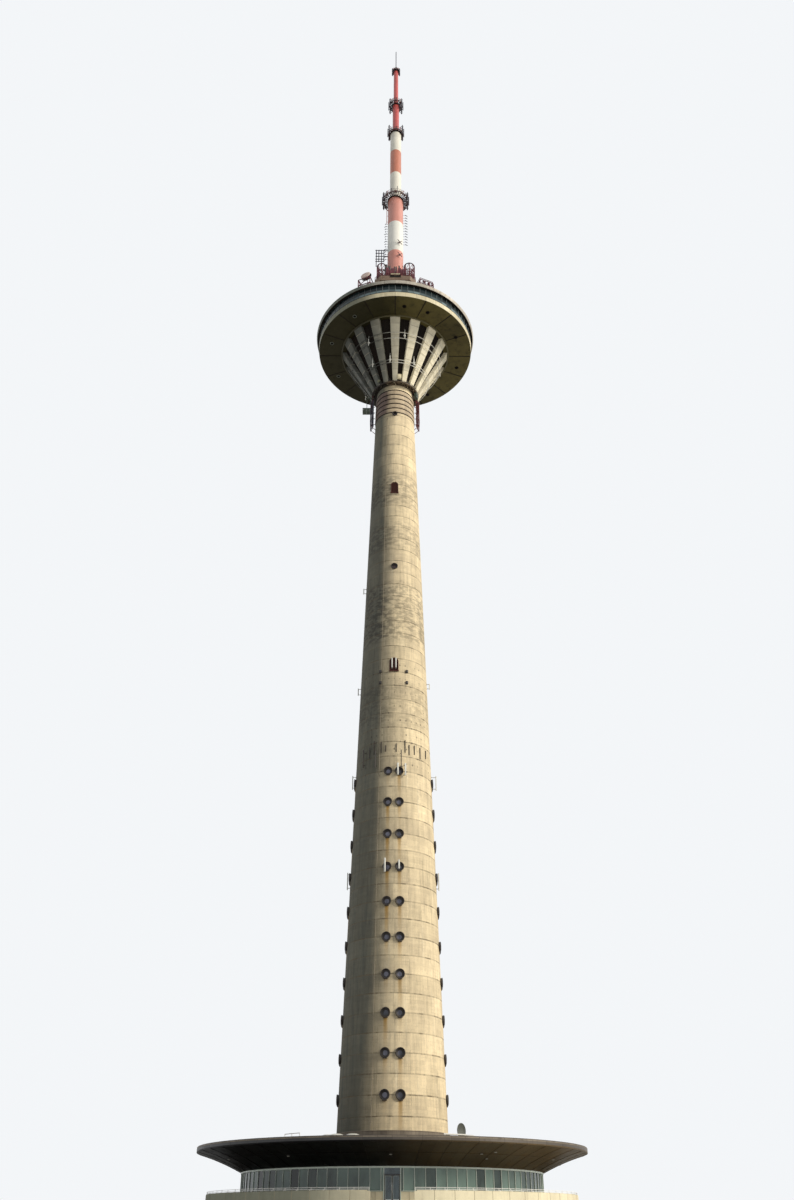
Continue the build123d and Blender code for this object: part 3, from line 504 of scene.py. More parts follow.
VALUE, VECTOR = "NodeSocketFloat", "NodeSocketVector"


def effect_place():
    """Turn about the axis from the front (0 to 1), height, and radius, from a position."""
    work, source, target = shared_effect("Place on tower", [("Position", VECTOR, None)],
        ["Turn", "Height", "Radius"])
    axes = work.add("ShaderNodeSeparateXYZ", {0: source["Position"]}).outputs
    angle = work.math("ARCTAN2", axes[0], work.times(axes[1], -1.0))
    turn = work.math("FRACT", work.plus(work.math("DIVIDE", angle, 2 * math.pi), 1.0))
    square = work.plus(work.times(axes[0], axes[0]), work.times(axes[1], axes[1]))
    work.join(turn, target["Turn"])
    work.join(axes[2], target["Height"])
    work.join(work.math("SQRT", square), target["Radius"])


def effect_joints():
    """Lines at even steps of a value: 1 on a line, and the number and the run of the step between two."""
    work, source, target = shared_effect("Even joints", [("Value", VALUE, 0.0), ("First", VALUE, 0.0),
        ("Pitch", VALUE, 1.0), ("Width", VALUE, 0.01)], ["Line", "Step", "Run"])
    place = work.math("DIVIDE", work.minus(source["Value"], source["First"]), source["Pitch"])
    step = work.math("FLOOR", place)
    run = work.minus(place, step)
    nearest = work.math("MINIMUM", run, work.minus(1.0, run))
    away = work.times(nearest, source["Pitch"])
    half = work.times(source["Width"], 0.5)
    ease = work.math("DIVIDE", work.minus(away, half), half, clamp=True)
    work.join(work.minus(1.0, ease), target["Line"])
    work.join(step, target["Step"])
    work.join(run, target["Run"])


def effect_tint():
    """A random value for each pair of step numbers."""
    work, source, target = shared_effect("Panel tint", [("Across", VALUE, 0.0), ("Up", VALUE, 0.0)], ["Tint"])
    pair = work.add("ShaderNodeCombineXYZ", {0: source["Across"], 1: source["Up"]}).outputs[0]
    chance = work.add("ShaderNodeTexWhiteNoise", {"Vector": pair}, noise_dimensions="2D").outputs["Value"]
    work.join(chance, target["Tint"])


def effect_stains():
    """Cloudy noise, drawn out up and down by the stretch, cut to a mask between two levels."""
    work, source, target = shared_effect("Stains", [("Position", VECTOR, None), ("Scale", VALUE, 4.0),
        ("Stretch", VALUE, 1.0), ("Low", VALUE, 0.4), ("High", VALUE, 0.7)], ["Mask"])
    axes = work.add("ShaderNodeSeparateXYZ", {0: source["Position"]}).outputs
    drawn = work.math("DIVIDE", axes[2], source["Stretch"])
    place = work.add("ShaderNodeCombineXYZ", {0: axes[0], 1: axes[1], 2: drawn}).outputs[0]
    cloud = work.add("ShaderNodeTexNoise", {"Vector": place, "Scale": source["Scale"], "Detail": 5.0,
        "Roughness": 0.6}).outputs[0]
    work.join(work.spread(cloud, source["Low"], source["High"]), target["Mask"])


def effect_grain():
    """Fine pits and grains: two sizes of noise, added."""
    work, source, target = shared_effect("Grain", [("Position", VECTOR, None),
        ("Scale", VALUE, 60.0)], ["Grain"])
    fine = work.add("ShaderNodeTexNoise", {"Vector": source["Position"], "Scale": source["Scale"],
        "Detail": 6.0, "Roughness": 0.7}).outputs[0]
    broad = work.times(source["Scale"], 0.2)
    coarse = work.add("ShaderNodeTexNoise", {"Vector": source["Position"], "Scale": broad,
        "Detail": 3.0}).outputs[0]
    work.join(work.plus(work.times(fine, 0.6), work.times(coarse, 0.4)), target["Grain"])


def effect_painted_shade():
    """Mask for painted shade on the side away from the sun: 1 there and 0 in the sun, with an edge between
    two levels that wanders.
    """
    work, source, target = shared_effect("Painted shade side", [("Position", VECTOR, None), ("Low", VALUE, 0.03),
        ("High", VALUE, 0.35), ("Wander", VALUE, 0.25)], ["Mask"])
    axes = work.add("ShaderNodeSeparateXYZ", {0: source["Position"]}).outputs
    square = work.plus(work.times(axes[0], axes[0]), work.times(axes[1], axes[1]))
    away = work.plus(work.times(axes[0], math.sin(PAINTED_SHADE_BEARING)),
        work.times(axes[1], -math.cos(PAINTED_SHADE_BEARING)))
    facing = work.math("DIVIDE", away, work.most(work.math("SQRT", square), 0.001))
    cloud = work.add("ShaderNodeTexNoise", {"Vector": source["Position"], "Scale": 3.0,
        "Detail": 4.0}).outputs[0]
    ragged = work.plus(facing, work.times(work.minus(cloud, 0.5), source["Wander"]))
    work.join(work.spread(ragged, source["Low"], source["High"]), target["Mask"])


def begin_material(name, **values):
    """A new material: calls for its nodes, with the position on the piece, and its shader with
    some of its values set."""
    material = bpy.data.materials.new(name)
    material.use_nodes = True
    work = Tree(material.node_tree)
    shader = material.node_tree.nodes["Principled BSDF"]
    for key, value in values.items():
        shader.inputs[key.replace("_", " ")].default_value = value
    work.position = work.add("ShaderNodeTexCoord").outputs["Object"]
    return work, shader


def end_material(work, shader, colour, rough, relief, depth):
    """Joins a material's colour, roughness and relief to its shader."""
    bump = work.add("ShaderNodeBump", {"Height": relief, "Distance": depth, "Strength": 0.6})
    work.join(colour, shader.inputs["Base Color"])
    work.join(rough, shader.inputs["Roughness"])
    work.join(bump.outputs[0], shader.inputs["Normal"])


def finish(name, base, dirt, share=0.5, rough=0.5, metallic=0.0, coat=0.0, scale=2.0, stretch=6.0, grain=80.0,
        depth=0.002, panels=None, courses=None, tint=0.1, line=None, shaded=None,
        edge=(0.03, 0.35), specular=0.5):
    """Paint, sheet or render: a base colour with clouded dirt and rain streaks, painted shade as another
    colour for the side away from the sun, and where they are given, joints at even turns and even
    heights with a tint for each panel between them."""
    work, shader = begin_material(name, Metallic=metallic, Coat_Weight=coat, Specular_IOR_Level=specular)
    cloud = work.stains(scale, 1.0, 0.42, 0.72)
    streak = work.stains(scale * 6, stretch, 0.46, 0.78)
    both = work.times(work.plus(work.times(cloud, 0.6), streak), share, clamp=True)
    fine = work.grain(grain)
    colour = work.mix(both, base, dirt)
    # painted shade: on the side away from the sun the colour turns to the shaded colour, dirtied where the
    # dirt lies
    if shaded:
        away = work.shade(edge[0], edge[1])
        shaded_and_dirty = work.mix(both, shaded, tuple(0.6 * value for value in shaded))
        colour = work.mix(away, colour, shaded_and_dirty)
    light = work.spread(fine, 0.3, 0.7, 0.94, 1.06)
    relief = work.times(fine, 0.5)
    if panels or courses:
        place = work.place()
        across, up, marks = 0.0, 0.0, []
        if panels:
            count, first, width = panels
            joints = work.joints(place["Turn"], first / 360, 1 / count, width / 360)
            across = joints["Step"]
            marks.append(joints["Line"])
        if courses:
            first, pitch, width = courses
            joints = work.joints(place["Height"], first, pitch, width)
            up = joints["Step"]
            marks.append(joints["Line"])
        chance = work.tint(across, up)
        light = work.times(light, work.spread(chance, 0.0, 1.0, 1 - tint, 1 + tint))
        mark = marks[0] if len(marks) == 1 else work.most(*marks)
        colour = work.mix(mark, colour, line if line else dirt)
        relief = work.minus(relief, mark)
    colour = work.lit(colour, light)
    gloss = work.plus(rough, work.times(both, 0.25), clamp=True)
    end_material(work, shader, colour, gloss, relief, depth)


def concrete(name, colours):
    """Board-marked concrete cast in short lifts: faint broken course joints at half the window pitch,
    fine marks both ways, painted shade on the side away from the sun with a painted sharp shade edge,
    blotched stretches that are darker in the painted shade, rows of tie holes, lime and rain streaks,
    and rust that runs down from the round windows. The rust is 1 less the share of the way down to the
    next window, to a power that chance gives each window."""
    work, shader = begin_material(name)
    place = work.place()
    pitch = PORTHOLE_ROWS[1] - PORTHOLE_ROWS[0]
    first = float(PORTHOLE_ROWS[0])
    cloud = work.stains(2.6, 1.6, 0.38, 0.68)
    rain = work.stains(15.0, 9.0, 0.44, 0.74)
    lime = work.stains(11.0, 16.0, 0.56, 0.76)
    broken = work.stains(7.0, 1.0, 0.42, 0.66)
    speck = work.stains(8.0, 0.5, 0.4, 0.6)
    # painted shade on the side away from the sun: a gradual mask and a sharp painted shade edge, both moved
    # round a little near the top and the foot of the shaft
    from_middle = work.math("ABSOLUTE", work.minus(place["Height"], 8.0))
    shift = work.spread(from_middle, 4.5, 6.5, 0.0, 0.17)
    gradual = work.shade(work.plus(shift, -0.42), work.plus(shift, 0.4))
    sharp = work.shade(work.plus(shift, 0.14), work.plus(shift, 0.34), 0.02)
    away = work.plus(work.times(gradual, 0.82), work.times(sharp, 0.18))
    fine = work.grain(46.0)
    course = work.joints(place["Height"], first, pitch / 2, 0.013)
    level = work.joints(place["Height"], first, pitch / 12, 0.005)
    board = work.joints(place["Turn"], 0.0, 1 / 150, 0.0008)
    shutter = work.joints(place["Turn"], 0.004, 1 / 20, 0.0014)
    board_tint = work.tint(board["Step"], course["Step"])
    shutter_tint = work.tint(shutter["Step"], course["Step"])
    lift_tint = work.tint(3.0, course["Step"])
    level_tint = work.tint(shutter["Step"], level["Step"])

    colour = work.mix(work.times(cloud, 0.55), colours["clean"], colours["aged"])
    colour = work.mix(work.times(lime, 0.45), colour, colours["lime"])
    colour = work.mix(work.times(rain, 0.38), colour, colours["dirt"])
    # painted shade: the side away from the sun turns a dark grey-green
    painted_shade_tint = work.times(away, work.plus(0.91, work.times(rain, 0.06)))
    colour = work.mix(painted_shade_tint, colour, colours["painted_shade_tint"])

    soot = 0.0
    for low, high, much in BLOTCHES:
        over = work.spread(place["Height"], low - 0.12, low + 0.12)
        under = work.spread(place["Height"], high - 0.12, high + 0.12, much, 0.0)
        soot = work.most(soot, work.times(over, under))
    # the soot blotches are partly real soot and partly painted shade, as they grow stronger on the painted
    # shade side
    soot = work.times(work.times(soot, speck), work.spread(away, 0.0, 1.0, 0.5, 0.95))
    colour = work.mix(soot, colour, colours["soot"])

    turns = work.plus(work.times(place["Turn"], 4.0), 0.5)
    quarter = work.minus(work.math("FRACT", turns), 0.5)
    off_line = work.math("ABSOLUTE", work.minus(work.math("ABSOLUTE", quarter), 8 / 90))
    wander = work.times(work.minus(fine, 0.5), 0.03)
    narrow = work.spread(work.plus(off_line, wander), 0.008, 0.04, 1.0, 0.0)
    under = work.math("DIVIDE", work.minus(first - PORTHOLE_R, place["Height"]), pitch)
    drop = work.math("FRACT", under)
    row = work.math("FLOOR", under)
    side = work.math("FLOOR", work.times(place["Turn"], 8.0))
    chance = work.tint(side, row)
    fade = work.math("POWER", work.minus(1.0, drop), work.spread(chance, 0.0, 1.0, 4.0, 0.9))
    inside = work.math("LESS_THAN", place["Height"], float(PORTHOLE_ROWS[-1]))
    rust = work.times(work.times(narrow, fade), inside)
    left = work.math("GREATER_THAN", work.math("FRACT", work.times(place["Turn"], 4.0)), 0.5)
    rust = work.times(rust, work.plus(0.8, work.times(left, 0.15)))
    rust = work.times(rust, work.spread(chance, 0.0, 0.6, 0.3, 1.0))
    colour = work.mix(rust, colour, colours["rust"])

    line = work.times(course["Line"], work.plus(0.3, work.times(broken, 0.6)))
    seams = work.most(work.times(board["Line"], 0.2), work.times(shutter["Line"], 0.35))
    seams = work.most(seams, work.times(level["Line"], 0.22))
    mark = work.most(line, work.times(seams, broken))
    colour = work.mix(mark, colour, colours["joint"])
    row_line = work.joints(place["Height"], first, pitch / 4, 0.022)
    hole = work.joints(place["Turn"], 0.002, 1 / 38, 0.0034)
    dots = work.times(row_line["Line"], hole["Line"])
    dots = work.times(dots, work.math("GREATER_THAN", place["Height"], TIE_ROWS[0]))
    dots = work.times(dots, work.math("LESS_THAN", place["Height"], TIE_ROWS[1]))
    colour = work.mix(work.times(dots, work.times(broken, 0.8)), colour, colours["soot"])
    light = work.times(work.spread(board_tint, 0.0, 1.0, 0.95, 1.05),
        work.spread(shutter_tint, 0.0, 1.0, 0.92, 1.07))
    light = work.times(light, work.spread(lift_tint, 0.0, 1.0, 0.94, 1.05))
    light = work.times(light, work.spread(level_tint, 0.0, 1.0, 0.95, 1.04))
    light = work.times(light, work.spread(place["Height"], 13.6, 15.0, 1.0, 1.09))
    light = work.times(light, work.spread(fine, 0.3, 0.7, 0.9, 1.08))
    colour = work.lit(colour, light)
    relief = work.minus(work.times(fine, 0.5), mark)
    gloss = work.spread(fine, 0.2, 0.8, 0.78, 0.95)
    end_material(work, shader, colour, gloss, relief, 0.006)


def mast_paint(name, tones, share):
    """Paint on the mast's tubes: faded below and deeper from tube to tube, with dirt, painted shade on the
    side away from the sun, and faint lap lines.
    """
    work, shader = begin_material(name, Coat_Weight=0.1)
    place = work.place()
    cloud = work.stains(3.0, 1.5, 0.4, 0.7)
    streak = work.stains(18.0, 8.0, 0.46, 0.78)
    laps = work.joints(place["Height"], TUBES[0][1], 0.31, 0.006)
    chance = work.tint(1.0, laps["Step"])
    away = work.shade(0.2, 0.8)
    fine = work.grain(80.0)
    second = work.spread(place["Height"], TUBES[1][1] - 0.1, TUBES[1][1] + 0.1)
    third = work.spread(place["Height"], TUBES[2][1] - 0.1, TUBES[2][1] + 0.1)
    colour = work.mix(second, tones[0], tones[1])
    colour = work.mix(third, colour, tones[2])
    dirt = work.times(work.plus(work.times(cloud, 0.7), streak), share, clamp=True)
    # painted shade: the side away from the sun is darkened along with the dirt
    dirt = work.most(dirt, work.times(away, 0.22))
    dirt = work.most(dirt, work.times(laps["Line"], 0.1))
    colour = work.mix(dirt, colour, tuple(0.42 * value for value in tones[1]))
    light = work.times(work.spread(chance, 0.0, 1.0, 0.94, 1.05), work.spread(fine, 0.3, 0.7, 0.95, 1.05))
    colour = work.lit(colour, light)
    gloss = work.plus(0.42, work.times(dirt, 0.3))
    end_material(work, shader, colour, gloss, work.minus(fine, laps["Line"]), 0.002)


def glazing(name, tint, deep, count=None, rough=0.04, clear=0.5, sky=None, specular=0.5, shade_darkening=0.0):
    """Tinted glass, with a tone of its own for each pane where the ring of panes has a count, a
    painted reflection of the sky below a height where that is given, weaker on the side away from
    the sun, and panes darkened with painted shade on the side away from the sun."""
    work, shader = begin_material(name, Metallic=0.0, Transmission_Weight=clear, Specular_IOR_Level=specular)
    cloud = work.stains(3.5, 2.5, 0.35, 0.7)
    share = cloud
    if count:
        place = work.place()
        pane = work.joints(place["Turn"], 0.0, 1 / count, 0.001)
        chance = work.tint(pane["Step"], 7.0)
        sharp = work.spread(chance, 0.25, 0.75)
        share = work.plus(work.times(cloud, 0.3), work.times(sharp, 0.7))
    # painted shade: panes darken on the side away from the sun
    if shade_darkening:
        away = work.shade(-0.4, 0.25)
        share = work.plus(share, work.times(away, shade_darkening), clamp=True)
    colour = work.mix(share, tint, deep)
    # painted reflection of the sky on the lower part of the panes, weaker on the painted shade side
    if sky:
        low, high, shine = sky
        lit = work.spread(place["Height"], low, high, 1.0, 0.0)
        lit = work.times(lit, work.spread(chance, 0.0, 0.7, 0.25, 1.0))
        away = work.shade(0.1, 0.5)
        lit = work.times(lit, work.spread(away, 0.0, 1.0, 1.0, 0.25))
        colour = work.mix(lit, colour, shine)
    fine = work.grain(9.0)
    end_material(work, shader, colour, work.spread(fine, 0.3, 0.8, rough, rough + 0.06), fine, 0.0004)


def lamp_glass(name, colour):
    """A lit lamp cover: a pale colour that glows a little, with moulded rings."""
    work, shader = begin_material(name, Emission_Strength=0.6)
    fine = work.grain(140.0)
    shade = work.mix(fine, colour, tuple(0.7 * c for c in colour))
    work.join(shade, shader.inputs["Emission Color"])
    end_material(work, shader, shade, work.spread(fine, 0.3, 0.7, 0.2, 0.35), fine, 0.0008)


class TowerColours(bpy.types.PropertyGroup):
    """Colours of the finishes that show most."""

    concrete: bpy.props.FloatVectorProperty(
        name="Concrete", description="Clean concrete on the sunny side", subtype="COLOR", size=3,
        default=(0.86, 0.715, 0.475))
    concrete_aged: bpy.props.FloatVectorProperty(
        name="Aged concrete", description="Weathered patches in the concrete", subtype="COLOR", size=3,
        default=(0.64, 0.53, 0.365))
    band: bpy.props.FloatVectorProperty(
        name="Head band", description="Cream sheet round the head", subtype="COLOR", size=3,
        default=(0.76, 0.68, 0.47))
    soffit: bpy.props.FloatVectorProperty(
        name="Head soffit", description="Olive sheet under the head", subtype="COLOR", size=3,
        default=(0.094, 0.076, 0.022))
    mast_red: bpy.props.FloatVectorProperty(
        name="Mast red", description="Faded red paint on the mast", subtype="COLOR", size=3,
        default=(0.76, 0.33, 0.27))
    mast_white: bpy.props.FloatVectorProperty(
        name="Mast white", description="White paint on the mast", subtype="COLOR", size=3,
        default=(0.96, 0.95, 0.89))


class TowerFittings(bpy.types.PropertyGroup):
    """Sizes of fittings that a user may change."""

    conduit_bearing: bpy.props.FloatProperty(
        name="Conduit bearing", description="Where the conduit climbs the shaft, from the front towards +X",
        subtype="ANGLE", default=math.radians(-21.5))
    conduit_radius: bpy.props.FloatProperty(
        name="Conduit radius", description="Radius of the conduit on the shaft", unit="LENGTH",
        default=0.0035)
    roof_seams: bpy.props.IntProperty(
        name="Roof seams", description="Standing seams round the hall's roof", default=96, min=16, max=240)
    slot_transoms: bpy.props.IntProperty(
        name="Slot transoms", description="Rails across the dark slots of the cone", default=5, min=1, max=12)
    cage_braces: bpy.props.IntProperty(
        name="Cage braces", description="Posts and braces round each aerial cage", default=8, min=4, max=16)
    rail_height: bpy.props.FloatProperty(
        name="Gallery rail height", description="Height of the rails on the mast's galleries", unit="LENGTH",
        default=0.11)


class TowerStage(bpy.types.PropertyGroup):
    """Camera and light."""

    distance: bpy.props.FloatProperty(
        name="Distance", description="From the tower's axis to the camera", unit="LENGTH", default=17.41)
    eye: bpy.props.FloatProperty(
        name="Eye height", description="Height of the camera over the ground", unit="LENGTH", default=0.2)
    pitch: bpy.props.FloatProperty(
        name="Pitch", description="How far the camera looks up", subtype="ANGLE", default=math.radians(32.15))
    heading: bpy.props.FloatProperty(
        name="Heading", description="How far the camera looks to the right", subtype="ANGLE",
        default=math.radians(0.19))
    roll: bpy.props.FloatProperty(
        name="Roll", description="Turn of the camera about its own line of sight", subtype="ANGLE",
        default=0.00169)
    lens: bpy.props.FloatProperty(
        name="Lens", description="Focal length on a 36 mm sensor", subtype="DISTANCE_CAMERA", default=30.033)
    sun_strength: bpy.props.FloatProperty(
        name="Sun", description="Strength of the soft key light", default=2.8, min=0.0)
    sky_strength: bpy.props.FloatProperty(
        name="Sky", description="Strength of the fill from all round", default=0.27, min=0.0)
    sun_bearing: bpy.props.FloatProperty(
        name="Sun bearing", description="Where the key light stands, from the front towards +X",
        subtype="ANGLE", default=math.radians(66))
    sun_height: bpy.props.FloatProperty(
        name="Sun height", description="How high the key light stands", subtype="ANGLE",
        default=math.radians(25))


NODE_FINISH = {
    "shaft_concrete": "Shaft concrete", "podium_stone": "Podium render", "floor_stone": "Terrace slabs",
    "step_stone": "Cast steps", "rail_white": "Rail paint", "hall_glass": "Hall glass",
    "mullion_metal": "Mullion metal", "door_dark": "Door frame paint", "door_glass": "Door glass",
    "pull_steel": "Pull steel", "soffit_bronze": "Eaves bronze", "fascia_metal": "Fascia sheet",
    "roof_sheet": "Roof sheet", "ceiling_board": "Ceiling boards", "pane_glass": "Porthole glass",
    "shutter_red": "Shutter paint", "neck_brown": "Neck primer", "cone_dark": "Slot paint",
    "rib_grey": "Rib panels", "ledge_olive": "Ledge paint", "head_soffit_olive": "Head soffit sheet",
    "head_band_cream": "Head band sheet", "deck_floor": "Deck slab", "deck_glass": "Deck glass",
    "deck_post_white": "Deck post shaded paint", "head_roof": "Head roof membrane",
    "roof_edge_metal": "Head edge sheet",
    "cap_concrete": "Cap concrete", "platform_brown": "Platform paint", "mast_red": "Mast red paint",
    "mast_white": "Mast white paint", "gallery_dark": "Gallery paint", "aerial_dark": "Aerial plastic",
    "aerial_white": "White aerial plastic", "frame_black": "Window frame steel", "dish_green": "Drum paint",
    "needle_grey": "Needle paint",
}


# nodes painted otherwise than the rest of their slot
OWN_FINISH = {"neck_frames": "Maroon paint", "crown_cages": "Red lattice paint",
    "dish_stands": "Red lattice paint", "cone_foot_ring": "Foot ring paint", "cone_hoops": "Hoop paint",
    "roof_dishes": "Dish mesh"}


def paint_all(colours):
    """Shared effects first, then every finish, then each node's finish, looked up by its slot."""
    effect_place()
    effect_joints()
    effect_tint()
    effect_stains()
    effect_grain()
    effect_painted_shade()
    clean, aged = tuple(colours.concrete), tuple(colours.concrete_aged)
    concrete("Shaft concrete", {
        "clean": clean, "aged": aged, "lime": (0.9, 0.81, 0.62), "painted_shade_tint": (0.108, 0.115, 0.098),
        "dirt": (0.38, 0.32, 0.22), "rust": (0.42, 0.235, 0.045), "joint": (0.17, 0.135, 0.085),
        "soot": (0.06, 0.056, 0.046)})
    # finishes given a shaded colour carry painted shade on the side away from the sun
    finish("Podium render", (0.86, 0.78, 0.57), (0.44, 0.38, 0.26), 0.4, 0.85, courses=(0.04, 0.21, 0.006),
        panels=(64, 0.0, 0.12), scale=1.8, tint=0.05, shaded=(0.33, 0.33, 0.25), edge=(-0.15, 0.35))
    finish("Terrace slabs", (0.42, 0.39, 0.34), (0.2, 0.18, 0.15), 0.6, 0.8, panels=(96, 0.0, 0.1), scale=3)
    finish("Cast steps", (0.46, 0.43, 0.37), (0.21, 0.19, 0.16), 0.6, 0.8, scale=5.0, grain=160.0)
    finish("Rail paint", (0.93, 0.92, 0.88), (0.55, 0.5, 0.42), 0.25, 0.35, coat=0.2, scale=8.0)
    finish("Mullion metal", (0.72, 0.8, 0.72), (0.4, 0.44, 0.38), 0.3, 0.35, scale=6.0)
    finish("Door frame paint", (0.028, 0.034, 0.045), (0.09, 0.09, 0.09), 0.4, 0.3, coat=0.3, scale=8.0)
    finish("Pull steel", (0.62, 0.62, 0.6), (0.35, 0.34, 0.32), 0.3, 0.25, metallic=1.0, scale=30.0)
    finish("Eaves bronze", (0.092, 0.064, 0.03), (0.15, 0.1, 0.05), 0.6, 0.42, scale=1.2, stretch=1.0,
        panels=(96, 0.0, 0.05), line=(0.012, 0.008, 0.006), shaded=(0.0015, 0.001, 0.0008),
        edge=(-0.85, 0.02), specular=0.1)
    finish("Fascia sheet", (0.1, 0.082, 0.066), (0.05, 0.04, 0.031), 0.5, 0.45, metallic=0.2, scale=3.0,
        panels=(48, 0.0, 0.08), tint=0.14, shaded=(0.04, 0.04, 0.043), edge=(-0.4, 0.2))
    finish("Roof sheet", (0.2, 0.165, 0.125), (0.105, 0.085, 0.065), 0.7, 0.55, metallic=0.25, scale=1.6,
        panels=(96, 0.0, 0.1), tint=0.12)
    finish("Ceiling boards", (0.4, 0.38, 0.33), (0.25, 0.23, 0.19), 0.4, 0.7, panels=(96, 0.0, 0.08))
    finish("Shutter paint", (0.085, 0.026, 0.02), (0.035, 0.02, 0.018), 0.6, 0.6, scale=9.0, specular=0.3)
    finish("Neck primer", (0.62, 0.5, 0.345), (0.34, 0.25, 0.17), 0.55, 0.6, scale=3.0, stretch=3.0,
        panels=(24, 0.0, 0.3), shaded=(0.155, 0.105, 0.088))
    finish("Slot paint", (0.01, 0.007, 0.005), (0.026, 0.015, 0.01), 0.6, 0.6, scale=2.2,
        stretch=4.0, specular=0.15)
    finish("Rib panels", (0.95, 0.87, 0.67), (0.52, 0.46, 0.34), 0.36, 0.7, scale=1.9, stretch=7.0,
        courses=(NECK_TOP, 0.24, 0.005), tint=0.06, line=(0.4, 0.36, 0.27),
        shaded=(0.12, 0.124, 0.11), edge=(-0.62, 0.46))
    finish("Ledge paint", (0.13, 0.112, 0.052), (0.06, 0.05, 0.026), 0.6, 0.6, scale=3.0,
        shaded=(0.05, 0.045, 0.022), edge=(-0.4, 0.4))
    finish("Head soffit sheet", tuple(colours.soffit), (0.034, 0.027, 0.011), 0.75, 0.55, scale=1.3,
        stretch=1.0, panels=(RIBS, 0.0, 0.55), tint=0.18, line=(0.014, 0.01, 0.006),
        shaded=(0.022, 0.0185, 0.0045), edge=(-0.5, 0.05), specular=0.2)
    finish("Head band sheet", tuple(colours.band), (0.34, 0.28, 0.16), 0.36, 0.5, scale=2.4, stretch=5.0,
        panels=(RIBS * 3, 0.0, 0.1), tint=0.06, line=(0.4, 0.34, 0.22), shaded=(0.175, 0.175, 0.115))
    finish("Deck slab", (0.4, 0.38, 0.34), (0.24, 0.22, 0.19), 0.5, 0.8)
    # painted shade: the white window posts are painted dark grey for the shade under the roof edge, and
    # darker still on the side away from the sun
    finish("Deck post shaded paint", (0.22, 0.25, 0.25), (0.1, 0.1, 0.09), 0.4, 0.4, scale=7.0,
        shaded=(0.03, 0.034, 0.036), edge=(-0.1, 0.3))
    finish("Head roof membrane", (0.25, 0.24, 0.22), (0.13, 0.12, 0.11), 0.6, 0.8, scale=1.5)
    finish("Head edge sheet", (0.56, 0.51, 0.44), (0.27, 0.23, 0.18), 0.5, 0.5, metallic=0.1, scale=2.5,
        panels=(RIBS * 3, 0.0, 0.12), shaded=(0.135, 0.15, 0.125), edge=(-0.1, 0.3))
    finish("Foot ring paint", (0.115, 0.08, 0.048), (0.02, 0.014, 0.01), 0.95, 0.6, scale=11.0, stretch=1.0,
        shaded=(0.024, 0.018, 0.014))
    finish("Hoop paint", (0.9, 0.88, 0.8), (0.5, 0.46, 0.38), 0.3, 0.4, scale=9.0,
        shaded=(0.065, 0.065, 0.058), edge=(-0.32, 0.25))
    finish("Navy paint", (0.03, 0.034, 0.06), (0.08, 0.034, 0.036), 0.7, 0.5, scale=12.0)
    finish("Maroon paint", (0.15, 0.03, 0.034), (0.04, 0.016, 0.02), 0.7, 0.5, scale=12.0)
    finish("Pink dish paint", (0.76, 0.6, 0.53), (0.52, 0.38, 0.33), 0.4, 0.5, scale=9.0)
    finish("Cap concrete", (0.4, 0.35, 0.27), (0.2, 0.17, 0.12), 0.6, 0.85)
    finish("Platform paint", (0.235, 0.16, 0.112), (0.1, 0.055, 0.04), 0.7, 0.6, scale=6.0)
    mast_paint("Mast red paint", (tuple(colours.mast_red), (0.6, 0.205, 0.125), (0.6, 0.085, 0.08)), 0.22)
    mast_paint("Mast white paint", (tuple(colours.mast_white), (0.9, 0.87, 0.77), (0.6, 0.56, 0.49)), 0.1)
    finish("Gallery paint", (0.075, 0.026, 0.03), (0.03, 0.026, 0.034), 0.6, 0.5, scale=9.0)
    finish("Aerial plastic", (0.055, 0.065, 0.09), (0.13, 0.11, 0.1), 0.5, 0.45, scale=9.0)
    finish("White aerial plastic", (0.8, 0.8, 0.75), (0.46, 0.42, 0.34), 0.4, 0.4, scale=9.0)
    finish("Window frame steel", (0.028, 0.024, 0.022), (0.085, 0.055, 0.035), 0.5, 0.5, scale=10.0)
    finish("Dish mesh", (0.235, 0.255, 0.225), (0.1, 0.11, 0.095), 0.5, 0.6, scale=14.0, stretch=1.0,
        panels=(720, 0.0, 0.2), courses=(1.0, 0.014, 0.005), tint=0.05, line=(0.08, 0.085, 0.075))
    finish("Drum paint", (0.08, 0.105, 0.08), (0.04, 0.048, 0.036), 0.6, 0.5, scale=9.0)
    finish("Needle paint", (0.035, 0.04, 0.07), (0.085, 0.07, 0.075), 0.5, 0.45, scale=9.0)
    finish("Red lattice paint", (0.13, 0.01, 0.022), (0.03, 0.01, 0.02), 0.6, 0.5, scale=12.0)
    finish("Galvanised steel", (0.4, 0.4, 0.38), (0.24, 0.21, 0.17), 0.5, 0.45, metallic=0.7, scale=12.0)
    glazing("Hall glass", (0.25, 0.37, 0.32), (0.004, 0.011, 0.01), count=96, clear=0.06,
        rough=0.03, shade_darkening=0.35)
    glazing("Door glass", (0.2, 0.28, 0.32), (0.06, 0.09, 0.11))
    glazing("Porthole glass", (0.27, 0.27, 0.37), (0.03, 0.032, 0.05), rough=0.1, clear=0.0)
    glazing("Single window glass", (0.06, 0.018, 0.016), (0.02, 0.01, 0.01), rough=0.2, clear=0.0)
    # the deck glass has a painted sky reflection on its lower panes
    glazing("Deck glass", (0.016, 0.028, 0.031), (0.003, 0.007, 0.008), count=80, clear=0.0, rough=0.16,
        specular=0.15, sky=(18.325, 18.385, (0.22, 0.3, 0.32)))
    lamp_glass("Lamp cover", (0.95, 0.9, 0.75))
    lamp_glass("Warning lamp glass", (0.36, 0.03, 0.025))
    slots = {part["node"]: part["material_slot"] for part in frame["record"]["subparts"]}
    for name, node in frame["nodes"].items():
        node.data.materials.clear()
        node.data.materials.append(bpy.data.materials[OWN_FINISH.get(name, NODE_FINISH[slots[name]])])


